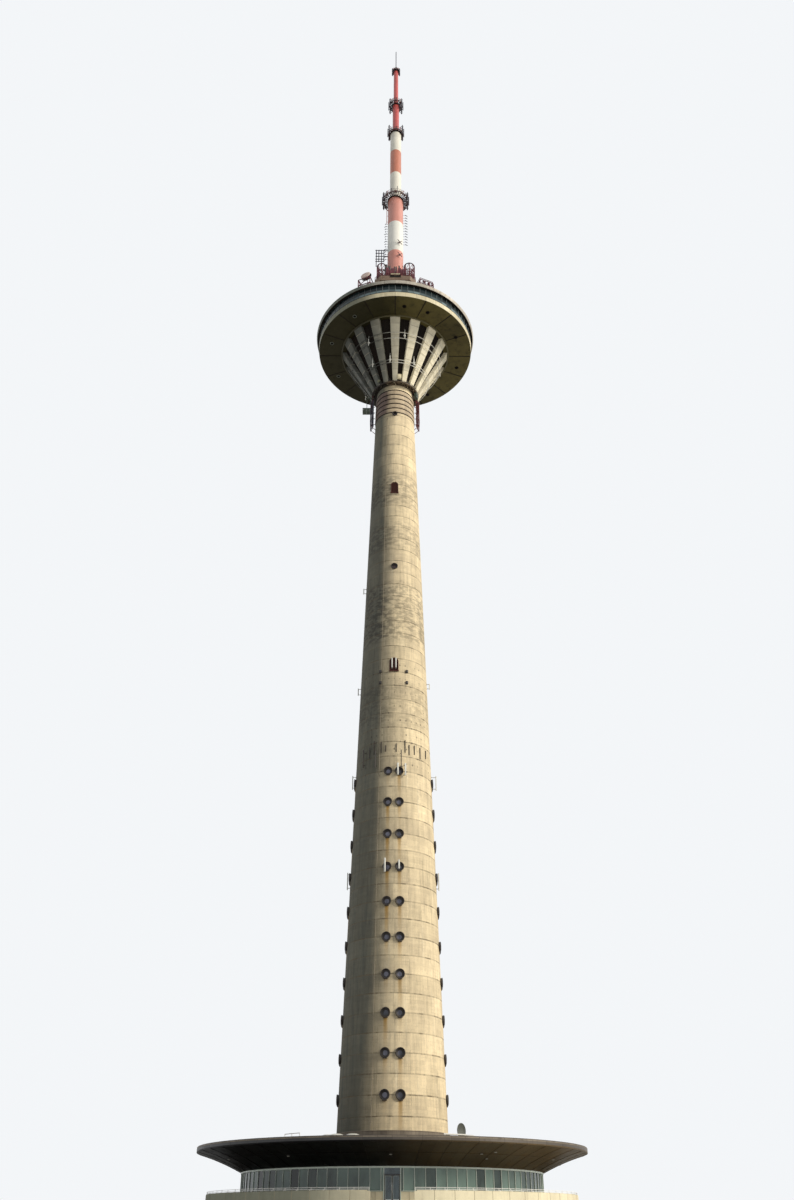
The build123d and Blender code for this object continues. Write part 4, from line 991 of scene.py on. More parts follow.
class TOWER_OT_finishes(bpy.types.Operator):
    """Makes the shared effects and every finish, and paints the frame's own nodes"""

    bl_idname = "tower.finishes"
    bl_label = "Finishes"

    def execute(self, context):
        paint_all(context.scene.tower_colours)
        return {"FINISHED"}


def window_points():
    """Bearing and height of every round window on the shaft: each bearing at each row's height."""
    bearing, height = np.meshgrid(PORTHOLE_BEARINGS, PORTHOLE_ROWS)
    return bearing.ravel(), height.ravel()


def wall_at(z):
    """Thickness of the shaft's wall, on a straight line from its foot to its top."""
    return SHAFT_WALL[0] + (SHAFT_WALL[1] - SHAFT_WALL[0]) * np.asarray(z) / NECK_TOP


def front_turned(outline, steps=28):
    """A closed outline of (radius, depth) points swept round the line that looks out of the front."""
    outline = np.asarray(outline, float)
    u = 2 * np.pi * np.arange(steps)[:, None] / steps
    r, y = outline[None, :, 0], outline[None, :, 1]
    points = np.stack([r * np.cos(u), y + 0 * u, r * np.sin(u)], axis=-1)
    return grid(points, wrap_u=True, wrap_v=True)


def gasket(radius):
    """A thick bevelled ring that holds a round pane."""
    return front_turned([(radius - 0.0004, 0.004), (radius - 0.0004, -0.006), (0.86 * radius, -0.013),
        (0.55 * radius, -0.008), (0.53 * radius, 0.004)])


class TOWER_OT_windows(bpy.types.Operator):
    """Rims, gaskets and sills of the round windows"""

    bl_idname = "tower.windows"
    bl_label = "Round window fittings"

    def execute(self, context):
        bearing, height = window_points()
        lip = front_ring(PORTHOLE_R - 0.001, 0.0075).around(bearing, shaft_radius(height) + FRAME_OUT, height)
        pane_r = shaft_radius(height) - wall_at(height) / 2 + 0.005
        rings = gasket(PORTHOLE_R).around(bearing, pane_r, height)
        covers = []
        for z, size in SINGLE_WINDOWS:
            reach = shaft_radius(z)
            lip += front_ring(size - 0.001, 0.0065).around(0.0, reach + FRAME_OUT, z)
            back = reach - wall_at(z) / 2 + 0.005
            rings += gasket(size).around(0.0, back, z)
            covers.append(front_disc(0.62 * size, 0.005, 24, 0.1).around(0.0, back, z))
        piece("porthole_lips", lip, *STEEL)
        piece("porthole_gaskets", rings, *STEEL)
        piece("single_window_covers", covers, "Single window glass", "pane_glass")
        sill = block(0.075, 0.02, 0.006).around(bearing, shaft_radius(height - PORTHOLE_R) + 0.012,
            height - PORTHOLE_R - 0.006)
        piece("porthole_drips", sill, *STEEL)
        return {"FINISHED"}


def arch_line(foot, width, height, out, steps=24):
    """The outline of an arched opening on the shaft: up one side, round half a circle, down the other."""
    half, spring = width / 2, height - width / 2
    angle = np.linspace(np.pi, 0, steps)
    x = np.concatenate([[-half, -half], half * np.cos(angle), [half, half]])
    z = foot + np.concatenate([[0.0, spring / 2], spring + half * np.sin(angle), [spring / 2, 0.0]])
    return front_face(x, z, out)


def fit_shaft(sizes):
    """Each fitting stands at the shaft's radius at its height, plus the distance it stands out."""
    bearing = math.degrees(sizes.conduit_bearing)
    out = 2 * sizes.conduit_radius
    ends = [at_bearing(bearing, shaft_radius(z) + out, z) for z in (COLLAR_TOP, NECK_TOP - 1)]
    conduit = rods(ends[0], ends[1], sizes.conduit_radius, 8)
    clip_z = np.arange(COLLAR_TOP + 0.12, NECK_TOP - 1.05, 0.2895)
    clips = block(0.022, 0.012, 0.008).around(bearing, shaft_radius(clip_z) + 0.005, clip_z)
    piece("shaft_conduit", conduit + clips, "Cap concrete", "shaft_concrete")

    poles, arms = [], []
    for angle, z in ((-47.7, 7.42), (-26.3, 7.35), (10.5, 7.33)):
        foot, head = z - 0.17, z + 0.17
        reach = shaft_radius(z) + 0.055
        poles.append(bars_at(angle, (reach, foot), (reach, head), 0.009, 8))
        for arm_z in (z - 0.12, z + 0.12):
            arms.append(bars_at(angle, (shaft_radius(arm_z), arm_z), (reach, arm_z), 0.005))
    piece("shaft_poles", poles + arms, *STEEL)

    ticks = []
    for angle, z, length in ((-39, 7.52, 0.2), (-31, 7.6, 0.26), (-19, 7.58, 0.22), (-12, 7.55, 0.12),
            (4, 7.56, 0.16), (17.5, 7.6, 0.24), (24, 7.54, 0.2), (33, 7.56, 0.18),
            (44, 7.53, 0.22), (58, 7.56, 0.16)):
        reach = shaft_radius(z) + 0.008
        ticks.append(bars_at(angle, (reach, z - length / 2), (reach, z + length / 2), 0.0075))
    piece("shaft_ticks", ticks, *STEEL)

    aerials, arms = [], []
    for angle, z, length, out in SHAFT_AERIALS:
        face = shaft_radius(z) + out
        aerials.append(block(0.03, 0.016, length, 0.3).around(angle, face + 0.008, z))
        for arm_z in (z - 0.4 * length, z + 0.4 * length):
            arms.append(bars_at(angle, (shaft_radius(arm_z) - 0.004, arm_z), (face + 0.004, arm_z), 0.0055))
            arms.append(block(0.026, 0.01, 0.016).around(angle, shaft_radius(arm_z) + 0.004, arm_z))
    piece("shaft_aerial_bodies", aerials, *PLASTIC, stands_for=("shaft_aerials",))
    piece("shaft_aerial_arms", arms, *BARE_STEEL)

    box_at = np.array([(-23.1, 9.16), (-22.9, 8.92), (22.1, 9.16), (21.9, 8.92)])
    boxes = block(0.045, 0.03, 0.06).around(box_at[:, 0], shaft_radius(box_at[:, 1]) + 0.012, box_at[:, 1])
    piece("shaft_boxes", boxes, *STEEL)

    frames = [tube(arch_line(*opening, 0.004), 0.007) for opening in (ARCH_LOW, ARCH_HIGH)]
    sills = [block(width + 0.03, 0.03, 0.014).moved(0, -shaft_radius(z) - 0.006, z - 0.007)
        for z, width, height in (ARCH_LOW, ARCH_HIGH)]
    piece("arch_frames", frames + sills, "Shutter paint", "shutter_red")

    slats = []
    for foot, width, height in (ARCH_LOW, ARCH_HIGH):
        top = foot + height
        face = shaft_radius(top) - wall_at(top) / 2 + 0.01
        slat_z = np.arange(foot + 0.016, top - 0.012, 0.022)
        above = np.maximum(slat_z - (top - width / 2), 0)
        half = np.sqrt((width / 2) ** 2 - above ** 2) - 0.006
        left = triples(-half, -face, slat_z)
        right = triples(half, -face, slat_z)
        slats.append(rods(left, right, 0.0065, 4))
    piece("arch_louvres", slats, "Shutter paint", "shutter_red")

    foot, width, height = ARCH_LOW
    z = foot + height / 2
    panels = block(0.024, 0.012, 0.21, 0.3).moved(0, -shaft_radius(z) - 0.022, foot + 0.165)
    pair = panels.moved(-0.037) + panels.moved(0.037)
    hold = [rods((x, -shaft_radius(z) + 0.02, z + dz), (x, -shaft_radius(z) - 0.018, z + dz), 0.005)
        for x in (-0.037, 0.037) for dz in (-0.09, 0.09)]
    piece("arch_aerials", [pair] + hold, *PLASTIC)


class TOWER_OT_shaft(bpy.types.Operator):
    """Conduit, poles, aerials, boxes, arch frames and louvres on the shaft"""

    bl_idname = "tower.shaft"
    bl_label = "Shaft fittings"

    def execute(self, context):
        fit_shaft(context.scene.tower_fittings)
        return {"FINISHED"}


def fit_neck():
    """Dark rings at even steps up the neck, painted shadow lines between its bands, and boards set against
    the frames' outer sides.
    """
    pitch, gap = 0.142, 0.012
    low, high = LOW["neck_bands"].z, LOW["cone_foot_ring"].z
    lines = []
    # painted shadow: near-black rings where the neck's bands meet
    for z in low - gap + pitch * np.arange(6):
        reach = shaft_radius(z)
        lines.append(spun(strip(reach - 0.003, reach + 0.005, z - 0.013, z + 0.013), steps=120))
    piece("neck_shadow_lines", lines, "Slot paint", "neck_brown")
    bearings = np.array([128, 165, 205, 250])
    starts = at_bearing(bearings, shaft_radius(low - 0.2) + 0.022, low - 0.2)
    ends = at_bearing(bearings, shaft_radius(high) + 0.022, high)
    clamp_z = low + 0.059 + pitch * np.arange(5)
    spot = np.meshgrid(bearings, clamp_z)
    clamps = block(0.024, 0.016, 0.01).around(spot[0].ravel(),
        shaft_radius(spot[1].ravel()) + 0.016, spot[1].ravel())
    piece("neck_risers", rods(starts, ends, 0.0045, 8) + clamps, *BARE_STEEL)
    for side, finish_name in ((-1, "Navy paint"), (1, "Maroon paint")):
        reach = HIGH["neck_frames"].x - 0.016
        low_z, high_z = LOW["neck_frames"].z + 0.12, HIGH["neck_frames"].z - 0.22
        mid_z = (low_z + high_z) / 2
        plates = [block(0.022, 0.07, high_z - low_z).moved(side * reach, y, mid_z) for y in (-0.08, 0.08)]
        plates += [block(0.052, 0.016, 0.1).moved(side * (reach - 0.045), -0.075, z)
            for z in np.linspace(low_z + 0.03, high_z + 0.02, 7)]
        plates.append(block(0.03, 0.03, high_z - low_z + 0.16).moved(side * (reach - 0.035), -0.06, mid_z))
        ties = np.linspace(low_z, high_z, 5)
        inner = triples(side * 0.46, -0.07, ties + 0.05)
        outer = triples(side * reach, -0.08, ties)
        plates.append(rods(inner, outer, 0.008))
        name = "left" if side < 0 else "right"
        piece(f"neck_boards_{name}", plates, finish_name, "neck_brown")
    drum_x, drum_z = LOW["neck_items"].x, 16.33
    hoop = front_ring(0.079, 0.0035, steps=40).turned(Matrix.Rotation(math.pi / 2, 3, "Z"))
    hoops = [hoop.moved(x, 0, drum_z) for x in drum_x + np.array([0.012, 0.09, 0.168])]
    piece("drum_hoops", hoops, "Galvanised steel", "dish_green")


class TOWER_OT_neck(bpy.types.Operator):
    """Painted shadow lines between the neck's bands, risers at the back, side boards and drum hoops"""

    bl_idname = "tower.neck"
    bl_label = "Neck fittings"

    def execute(self, context):
        fit_neck()
        return {"FINISHED"}


def fit_cone(sizes):
    """Bars and plates follow the ribs' straight line from the foot ring to the soffit."""
    rib_depth, rib_low, rib_high = 0.088, 0.102, 0.232
    mid = (np.arange(RIBS) + 0.5) * 360 / RIBS
    low, high = NECK_TOP + 0.01, CONE_TOP - 0.004
    bars = []
    for offset in (-2.6, 0, 2.6):
        foot = at_bearing(mid + offset, rib_radius(low) - rib_depth + 0.006, low)
        head = at_bearing(mid + offset, rib_radius(high) - rib_depth + 0.006, high)
        bars.append(rods(foot, head, 0.007 if offset else 0.01, 4))
    piece("slot_mullions", bars, *DARK)
    rail_z = np.linspace(NECK_TOP + 0.16, CONE_TOP - 0.22, sizes.slot_transoms)
    rails = [spun(bead(rib_radius(z) - rib_depth + 0.006, z, 0.008, 4), steps=96) for z in rail_z]
    piece("slot_rails", rails, *DARK)

    plates = []
    for z in (NECK_TOP + 0.03, NECK_TOP + 0.72, CONE_TOP - 0.05):
        half = 0.5 * (rib_low + (rib_high - rib_low) * (z - NECK_TOP) / (CONE_TOP - NECK_TOP))
        lean = math.atan2(CONE_TOP_R - CONE_FOOT_R, CONE_TOP - NECK_TOP)
        plate = block(2 * half - 0.012, 0.01, 0.022).turned(Matrix.Rotation(lean, 3, "X"))
        plates.append(plate.around(even_bearings(RIBS), rib_radius(z) + 0.002, z))
    piece("rib_plates", plates, "Rib panels", "rib_grey")

    rod_list, holders = [], []
    for angle, z in ((11.8, 17.7), (-35, 17.66), (-8, 17.19), (31.9, 17.2), (-38.7, 17.2), (98, 17.7),
            (146, 17.2), (188, 17.7), (-122, 17.2)):
        reach = rib_radius(z) + 0.062
        rod_list.append(bars_at(angle, (reach, z - 0.09), (reach, z + 0.1), 0.011, 8))
        rod_list.append(bars_at(angle, (reach, z + 0.1), (reach, z + 0.2), 0.008, 8, 0.003))
        holders.append(block(0.05, 0.035, 0.02).around(angle, reach - 0.012, z))
    piece("hoop_aerials", rod_list + holders, *PLASTIC)

    boxes = block(0.09, 0.05, 0.13).around(9.6, rib_radius(16.86) + 0.012, 16.86)
    lean = Matrix.Rotation(math.radians(-24), 3, "Y") @ Matrix.Rotation(math.radians(20), 3, "X")
    boxes += block(0.07, 0.03, 0.05).turned(lean).around(-39, rib_radius(16.84) + 0.02, 16.84)
    piece("cone_boxes", boxes, *CREAM)

    chance = np.random.default_rng(11)
    spots = np.linspace(-58, 58, 34) + chance.uniform(-1.2, 1.2, 34)
    around_back = np.linspace(70, 290, 34) + chance.uniform(-2, 2, 34)
    spots = np.concatenate([spots, around_back])
    tall = chance.uniform(0.02, 0.075, spots.size)
    foot = HIGH["cone_foot_ring"].z
    starts = at_bearing(spots, CONE_FOOT_R - 0.01, foot - 0.004)
    lean = chance.uniform(-2, 2, spots.size)
    ends = at_bearing(spots + lean, CONE_FOOT_R + 0.012, foot + tall)
    clutter = rods(starts, ends, 0.006, 5, 0.003)
    clutter += block(0.036, 0.02, 0.026).around(spots[::3], CONE_FOOT_R - 0.004, foot + 0.01)
    piece("foot_ring_fittings", clutter, *STEEL)
    under = LOW["cone_foot_ring"].z
    inner = shaft_radius(under)
    turns = even_bearings(96) + chance.uniform(-0.9, 0.9, 96)
    reach = inner + (CONE_FOOT_R - inner) * chance.uniform(0.25, 0.8, 96)
    studs = block(0.02, 0.03, 0.016).around(turns, reach, under - 0.004)
    piece("foot_ring_studs", studs, *DARK)
    clips = block(0.012, 0.016, 0.014).around(turns[::5] + 1.8, reach[::5] + 0.012, under - 0.005)
    piece("foot_ring_clips", clips, *CREAM)


class TOWER_OT_cone(bpy.types.Operator):
    """Slot mullions and rails, seam plates, aerials and boxes of the cone, fittings of its foot ring"""

    bl_idname = "tower.cone"
    bl_label = "Cone fittings"

    def execute(self, context):
        fit_cone(context.scene.tower_fittings)
        return {"FINISHED"}


def fit_head():
    """Profiles measured from the band's outer radius, swept round the axis whole or in arcs."""
    vents = np.array([7.7, 28.7, 67, -37, -75, 104, 148, -116, -160])
    dark_rim = front_ring(0.04, 0.0065, steps=28).turned(FACE_UP)
    rim = dark_rim.around(vents[vents > 0], 1.56, SOFFIT_Z - 0.004)
    grille = [rods((-0.036, y, 0), (0.036, y, 0), 0.003, 4) for y in (-0.018, 0, 0.018)]
    rim += joined(grille).around(vents, 1.56, SOFFIT_Z - 0.005)
    piece("soffit_vent_rims", rim, *DARK)
    pale = dark_rim.around(vents[vents < 0], 1.56, SOFFIT_Z - 0.004)
    piece("soffit_pale_rims", pale, "Head edge sheet", "ledge_olive")
    hole = front_disc(0.037, 0, crown=0.3).turned(FACE_UP).around(vents, 1.56, SOFFIT_Z - 0.001)
    piece("soffit_vents", hole, *DARK)

    seams = block(0.012, BAND_R - CONE_TOP_R - 0.075, 0.005).around(
        even_bearings(RIBS), (BAND_R + CONE_TOP_R) / 2 + 0.008, SOFFIT_Z - 0.002)
    piece("soffit_seams", seams, *DARK)

    foot = LOW["head_band"].z
    low_z, sill_z = foot + 0.018, foot + 0.136
    band = [(BAND_R - 0.03, low_z), (BAND_R, low_z), (BAND_R + 0.012, sill_z), (BAND_R - 0.03, sill_z)]
    width = 360 / RIBS
    arcs = [spun(band, 15, width * i + 0.05, width - 0.1) for i in range(RIBS)]
    piece("head_band_skin", arcs, *CREAM, stands_for=("head_band",))
    rim = [(BAND_R - 0.058, foot), (BAND_R - 0.004, foot + 0.011), (BAND_R - 0.001, low_z + 0.001),
        (BAND_R - 0.03, low_z + 0.006), (BAND_R - 0.058, low_z + 0.004)]
    piece("soffit_rim", spun(rim, steps=192), "Head soffit sheet", "head_soffit_olive")
    sill = strip(BAND_R - 0.02, BAND_R + 0.013, sill_z - 0.002, sill_z + 0.012)
    piece("deck_sill", spun(sill, steps=192), "Slot paint", "deck_post_white")

    head_z, edge_low, edge_high = HIGH["deck_glass"].z, LOW["roof_edge"].z, HIGH["roof_edge"].z
    glass = [(BAND_R - 0.01, sill_z), (BAND_R - 0.002, sill_z), (BAND_R + 0.004, head_z),
        (BAND_R - 0.004, head_z)]
    piece("deck_window_skin", spun(glass, steps=240), "Deck glass", "deck_glass", stands_for=("deck_glass",))
    turns = even_bearings(80)
    feet = at_bearing(turns, BAND_R, sill_z)
    heads = at_bearing(turns, BAND_R + 0.005, head_z)
    piece("deck_window_posts", rods(feet, heads, 0.0055, 4), "Deck post shaded paint", "deck_post_white",
        stands_for=("deck_posts",))
    edge = [(BAND_R + 0.01, edge_low), (BAND_R + 0.057, edge_low), (BAND_R + 0.061, edge_low + 0.006),
        (BAND_R + 0.076, edge_high - 0.008), (BAND_R + 0.07, edge_high), (BAND_R - 0.008, edge_high),
        (BAND_R - 0.008, edge_high - 0.02), (BAND_R + 0.01, edge_high - 0.02)]
    piece("roof_edge_skin", spun(edge, steps=192), "Head edge sheet", "roof_edge_metal",
        stands_for=("roof_edge",))
    # painted shadow: a near-black strip under the roof edge's overhang
    shade = strip(BAND_R + 0.008, BAND_R + 0.054, edge_low - 0.005, edge_low + 0.001)
    piece("edge_shadow_board", spun(shade, steps=192), *DARK)

    hatches = block(0.22, 0.22, 0.09).around([35, 125, 215, 300], 1.1, HEAD_ROOF_Z + 0.045)
    hatches += front_disc(0.07, 0.05).turned(Matrix.Rotation(-math.pi / 2, 3, "X")).around(
        [70, 160, 255, 330], 1.35, HEAD_ROOF_Z + 0.05)
    piece("head_roof_vents", hatches, "Head roof membrane", "head_roof")


class TOWER_OT_head(bpy.types.Operator):
    """Vents, seams, skins of band, windows and roof edge, and roof fittings of the head"""

    bl_idname = "tower.head"
    bl_label = "Head fittings"

    def execute(self, context):
        fit_head()
        return {"FINISHED"}


def lattice_post(foot, height, half, bays, bar):
    """A square lattice post: four legs, rings of bars at each bay and a diagonal across each side."""
    foot = np.asarray(foot, float)
    corners = half * np.array([(-1, -1, 0), (1, -1, 0), (1, 1, 0), (-1, 1, 0)], float) + foot
    ahead = np.roll(corners, -1, axis=0)
    levels = np.linspace(0, height, bays + 1)
    lift = np.zeros((bays + 1, 1, 3))
    lift[:, 0, 2] = levels
    ring_a = (corners[None] + lift).reshape(-1, 3)
    ring_b = (ahead[None] + lift).reshape(-1, 3)
    cross_a = (corners[None] + lift[:-1]).reshape(-1, 3)
    cross_b = (ahead[None] + lift[1:]).reshape(-1, 3)
    legs = rods(corners, corners + np.array([0, 0, height]), bar)
    return legs + rods(ring_a, ring_b, bar * 0.7, 4) + rods(cross_a, cross_b, bar * 0.6, 4)


def random_stubs(seed, count, low, high, line, tall, size):
    """Upright rods along a line from low to high. Each foot stands at a chance share of its own
    stretch, and each head is above it by the line's height times a chance from tall to 1."""
    chance = np.random.default_rng(seed)
    share = (np.arange(count) + chance.uniform(0.2, 0.8, count)) / count
    start, end = np.asarray(low, float), np.asarray(high, float)
    feet = start + (end - start) * share[:, None]
    lean = chance.uniform(-0.025, 0.025, (count, 2))
    heads = feet + np.column_stack([lean, line * chance.uniform(tall, 1, count)])
    return rods(feet, heads, size, 6, 0.6 * size)


def bar_frame(bearing, reach, width, depth, levels, bar):
    """A braced frame of bars on the head's roof: four posts, rings at each level and crossed sides."""
    half = math.degrees(0.5 * width / reach)
    corners = [(bearing - half, reach), (bearing + half, reach), (bearing + half, reach - depth),
        (bearing - half, reach - depth)]
    rings = np.stack([[at_bearing(b, r, z) for b, r in corners] for z in levels])
    ahead = np.roll(rings, -1, axis=1)
    frame_bars = rods(rings[0], rings[-1], bar)
    frame_bars += rods(rings[1:].reshape(-1, 3), ahead[1:].reshape(-1, 3), bar)
    frame_bars += rods(rings[:-1].reshape(-1, 3), ahead[1:].reshape(-1, 3), 0.7 * bar)
    return frame_bars


def fit_crown(sizes):
    """Rings of points, each joined to the next point and to the one above it, and rows of rods."""
    low = PLATFORM_Z + 0.02
    sleeves, braces, white, hoops = [], [], [], []
    for x_mid, radius in CAGES:
        centre = np.array([x_mid, 0, 0])
        reach = radius - 0.004
        sleeves += [spun(bead(reach - 0.003, z, 0.012), steps=40).moved(x_mid) for z in CAGE_LEVELS[:-1]]
        hoops.append(spun(bead(reach - 0.003, CAGE_LEVELS[-1] - 0.008, 0.013), steps=40).moved(x_mid))
        ring = at_bearing(even_bearings(sizes.cage_braces), reach, 0) + centre
        ahead = np.roll(ring, -1, axis=0)
        lift = np.array([0, 0, 1])
        sleeves.append(rods(ring + lift * low, ring + lift * CAGE_LEVELS[-1], 0.0105))
        for z_low, z_high in zip((low + 0.02,) + CAGE_LEVELS, CAGE_LEVELS):
            braces.append(rods(ring + lift * z_low, ahead + lift * z_high, 0.0065, 4))
        white.append(lattice_post((x_mid, 0, low), 0.98, 0.03, 6, 0.008))
        levels = np.array([low + 0.3, low + 0.52, low + 0.74, low + 0.92])
        start = triples(x_mid - 0.085, -0.05, levels - 0.03)
        end = triples(x_mid + 0.085, -0.05, levels + 0.05)
        white.append(rods(start, end, 0.012))
    piece("cage_sleeves", sleeves, *RED_BARS)
    piece("cage_braces", braces, *RED_BARS)
    piece("cage_top_hoops", hoops, "Navy paint", "gallery_dark")
    piece("cage_aerials", white, *PLASTIC)

    half, cut = 0.52, 0.15
    outline = np.array([(-half + cut, -half), (half - cut, -half), (half, -half + cut), (half, half - cut),
        (half - cut, half), (-half + cut, half), (-half, half - cut), (-half, -half + cut)])
    ahead = np.roll(outline, -1, axis=0)
    share = np.linspace(0, 1, 5)[:-1]
    spots = (outline[:, None] * (1 - share[:, None]) + ahead[:, None] * share[:, None]).reshape(-1, 2)
    rim_top = HIGH["crown_platform"].z
    feet = np.column_stack([spots * 0.985, np.full(len(spots), rim_top - 0.02)])
    rails = rods(feet, feet + np.array([0, 0, 0.125]), 0.006, 4)
    for lift in (0.06, 0.125):
        ring = np.column_stack([outline * 0.985, np.full(8, rim_top - 0.02 + lift)])
        rails += rods(ring, np.roll(ring, -1, axis=0), 0.006)
    piece("crown_rails", rails, "Maroon paint", "gallery_dark")

    bar = block(0.23, 0.03, 0.05).moved(0.002, -0.478, 20.505)
    piece("crown_light_bar", bar, "Head band sheet", "aerial_white")
    gap = block(0.3, 0.02, 0.15).moved(0.002, -0.44, 20.49)
    gap += block(0.27, 0.006, 0.06).moved(0.002, -0.522, rim_top - 0.03)
    hold = rods([(-0.09, -0.47, rim_top - 0.01), (0.09, -0.47, rim_top - 0.01)],
        [(-0.09, -0.47, 20.49), (0.09, -0.47, 20.49)], 0.006)
    piece("crown_light_box", gap + hold, "Slot paint", "gallery_dark")

    top = rim_top - 0.012
    maroon = random_stubs(1, 11, (-0.47, -0.45, top), (-0.14, -0.47, top), 0.38, 0.35, 0.013)
    maroon += random_stubs(2, 11, (0.14, -0.47, top), (0.47, -0.45, top), 0.38, 0.35, 0.013)
    spikes = random_stubs(3, 8, (-0.25, -0.3, low), (0.25, -0.3, low), 1.06, 0.74, 0.032)
    spikes += random_stubs(12, 10, (-0.25, -0.44, top), (0.25, -0.44, top), 0.52, 0.55, 0.024)
    for x, wide, tall in ((-0.2, 0.07, 0.34), (-0.12, 0.06, 0.22), (-0.05, 0.07, 0.3), (0.03, 0.05, 0.2),
            (0.1, 0.07, 0.32), (0.18, 0.06, 0.26), (0.24, 0.05, 0.36)):
        maroon += block(wide, 0.03, 0.7 * tall).moved(x, -0.455, rim_top + 0.13 + 0.35 * tall)
    spikes += rods([(-0.24, -0.3, low + 0.3), (-0.22, -0.34, low + 0.22)],
        [(0.24, -0.3, low + 0.34), (0.22, -0.34, low + 0.24)], 0.016)
    piece("crown_spikes", spikes, "Window frame steel", "gallery_dark")
    maroon += random_stubs(4, 12, (-0.49, -0.38, low), (-0.49, 0.38, low), 0.48, 0.5, 0.009)
    maroon += random_stubs(5, 12, (0.49, -0.38, low), (0.49, 0.38, low), 0.48, 0.5, 0.009)
    maroon += random_stubs(6, 14, (-0.45, 0.46, low), (0.45, 0.46, low), 0.48, 0.4, 0.009)
    piece("crown_stubs_red", maroon, *RED_BARS)
    dark = random_stubs(7, 9, (-0.46, -0.4, low), (-0.12, -0.36, low), 0.5, 0.5, 0.014)
    dark += random_stubs(8, 9, (0.12, -0.36, low), (0.46, -0.4, low), 0.5, 0.5, 0.014)
    dark += random_stubs(9, 11, (-0.24, -0.27, low), (0.24, -0.27, low), 0.8, 0.55, 0.016)
    box_x = np.array([-0.43, -0.35, -0.26, -0.17, 0.17, 0.26, 0.34, 0.43])
    rise = np.array([0.05, 0.09, 0.04, 0.07, 0.05, 0.08, 0.04, 0.07])
    dark += joined([block(0.052, 0.04, 0.075).moved(x, -0.43, rim_top + z) for x, z in zip(box_x, rise)])
    piece("crown_stubs_dark", dark, "Navy paint", "gallery_dark")
    pale = random_stubs(10, 4, (-0.43, -0.44, top), (-0.31, -0.44, top), 0.26, 0.6, 0.011)
    pale += rods([(0.27, -0.44, top + 0.02), (0.33, -0.44, top)],
        [(0.36, -0.44, top + 0.2), (0.34, -0.44, top + 0.24)], 0.0095)
    piece("crown_stubs_pale", pale, "Head band sheet", "aerial_white")
    stays = []
    for side in (-1, 1):
        for y in (-0.3, -0.12, 0.12, 0.3):
            stays.append(rods((side * 0.2, y, low + 0.06), (side * 0.5, y, low + 0.4), 0.0085))
    for x in (-0.14, 0, 0.14):
        stays.append(rods((x, 0.45, low + 0.02), (x * 0.6, 0.24, low + 0.4), 0.0085))
    piece("crown_stays", stays, "Maroon paint", "gallery_dark")

    levels = (HEAD_ROOF_Z - 0.005, HEAD_ROOF_Z + 0.2, HEAD_ROOF_Z + 0.4)
    frames = bar_frame(-23.5, EDGE_R - 0.06, 0.3, 0.22, levels, 0.011)
    levels = (HEAD_ROOF_Z - 0.005, HEAD_ROOF_Z + 0.16, HEAD_ROOF_Z + 0.3)
    for bearing in (20, 24, 27.5):
        frames += bar_frame(bearing, EDGE_R - 0.06, 0.1, 0.16, levels, 0.01)
    piece("roof_bar_frames", frames, *RED_BARS)
    face = front_disc(0.118, 0.01, 32, 0.5).turned(Matrix.Rotation(math.radians(-14), 3, "X"))
    dish_y = EDGE_R - 0.136 + 0.01
    piece("head_dish_cover", face.around(-23.5, dish_y, HEAD_ROOF_Z + 0.58),
        "Pink dish paint", "aerial_white")


class TOWER_OT_crown(bpy.types.Operator):
    """Cage sleeves, braces, rails, aerials and light bar on the crown platform, frames on the head's roof"""

    bl_idname = "tower.crown"
    bl_label = "Crown fittings"

    def execute(self, context):
        fit_crown(context.scene.tower_fittings)
        return {"FINISHED"}


def gallery_rail(radius, base, height, posts, bar=0.0035):
    """A rail round a gallery: upright posts and two round bars."""
    bearings = even_bearings(posts)
    feet = at_bearing(bearings, radius, base)
    heads = at_bearing(bearings, radius, base + height)
    rail = rods(feet, heads, bar, 4)
    for share in (0.5, 1):
        rail += spun(bead(radius, base + height * share, bar, 6), steps=64)
    return rail


def dipole(radius, size, bar):
    """A crossed aerial that faces the front: two bars on the slant, on a stalk from the tube."""
    cross = rods([(-size, -radius - 0.05, -size), (-size, -radius - 0.05, size)],
        [(size, -radius - 0.05, size), (size, -radius - 0.05, -size)], bar)
    return cross + rods((0, -radius + 0.01, 0), (0, -radius - 0.055, 0), bar * 1.2)


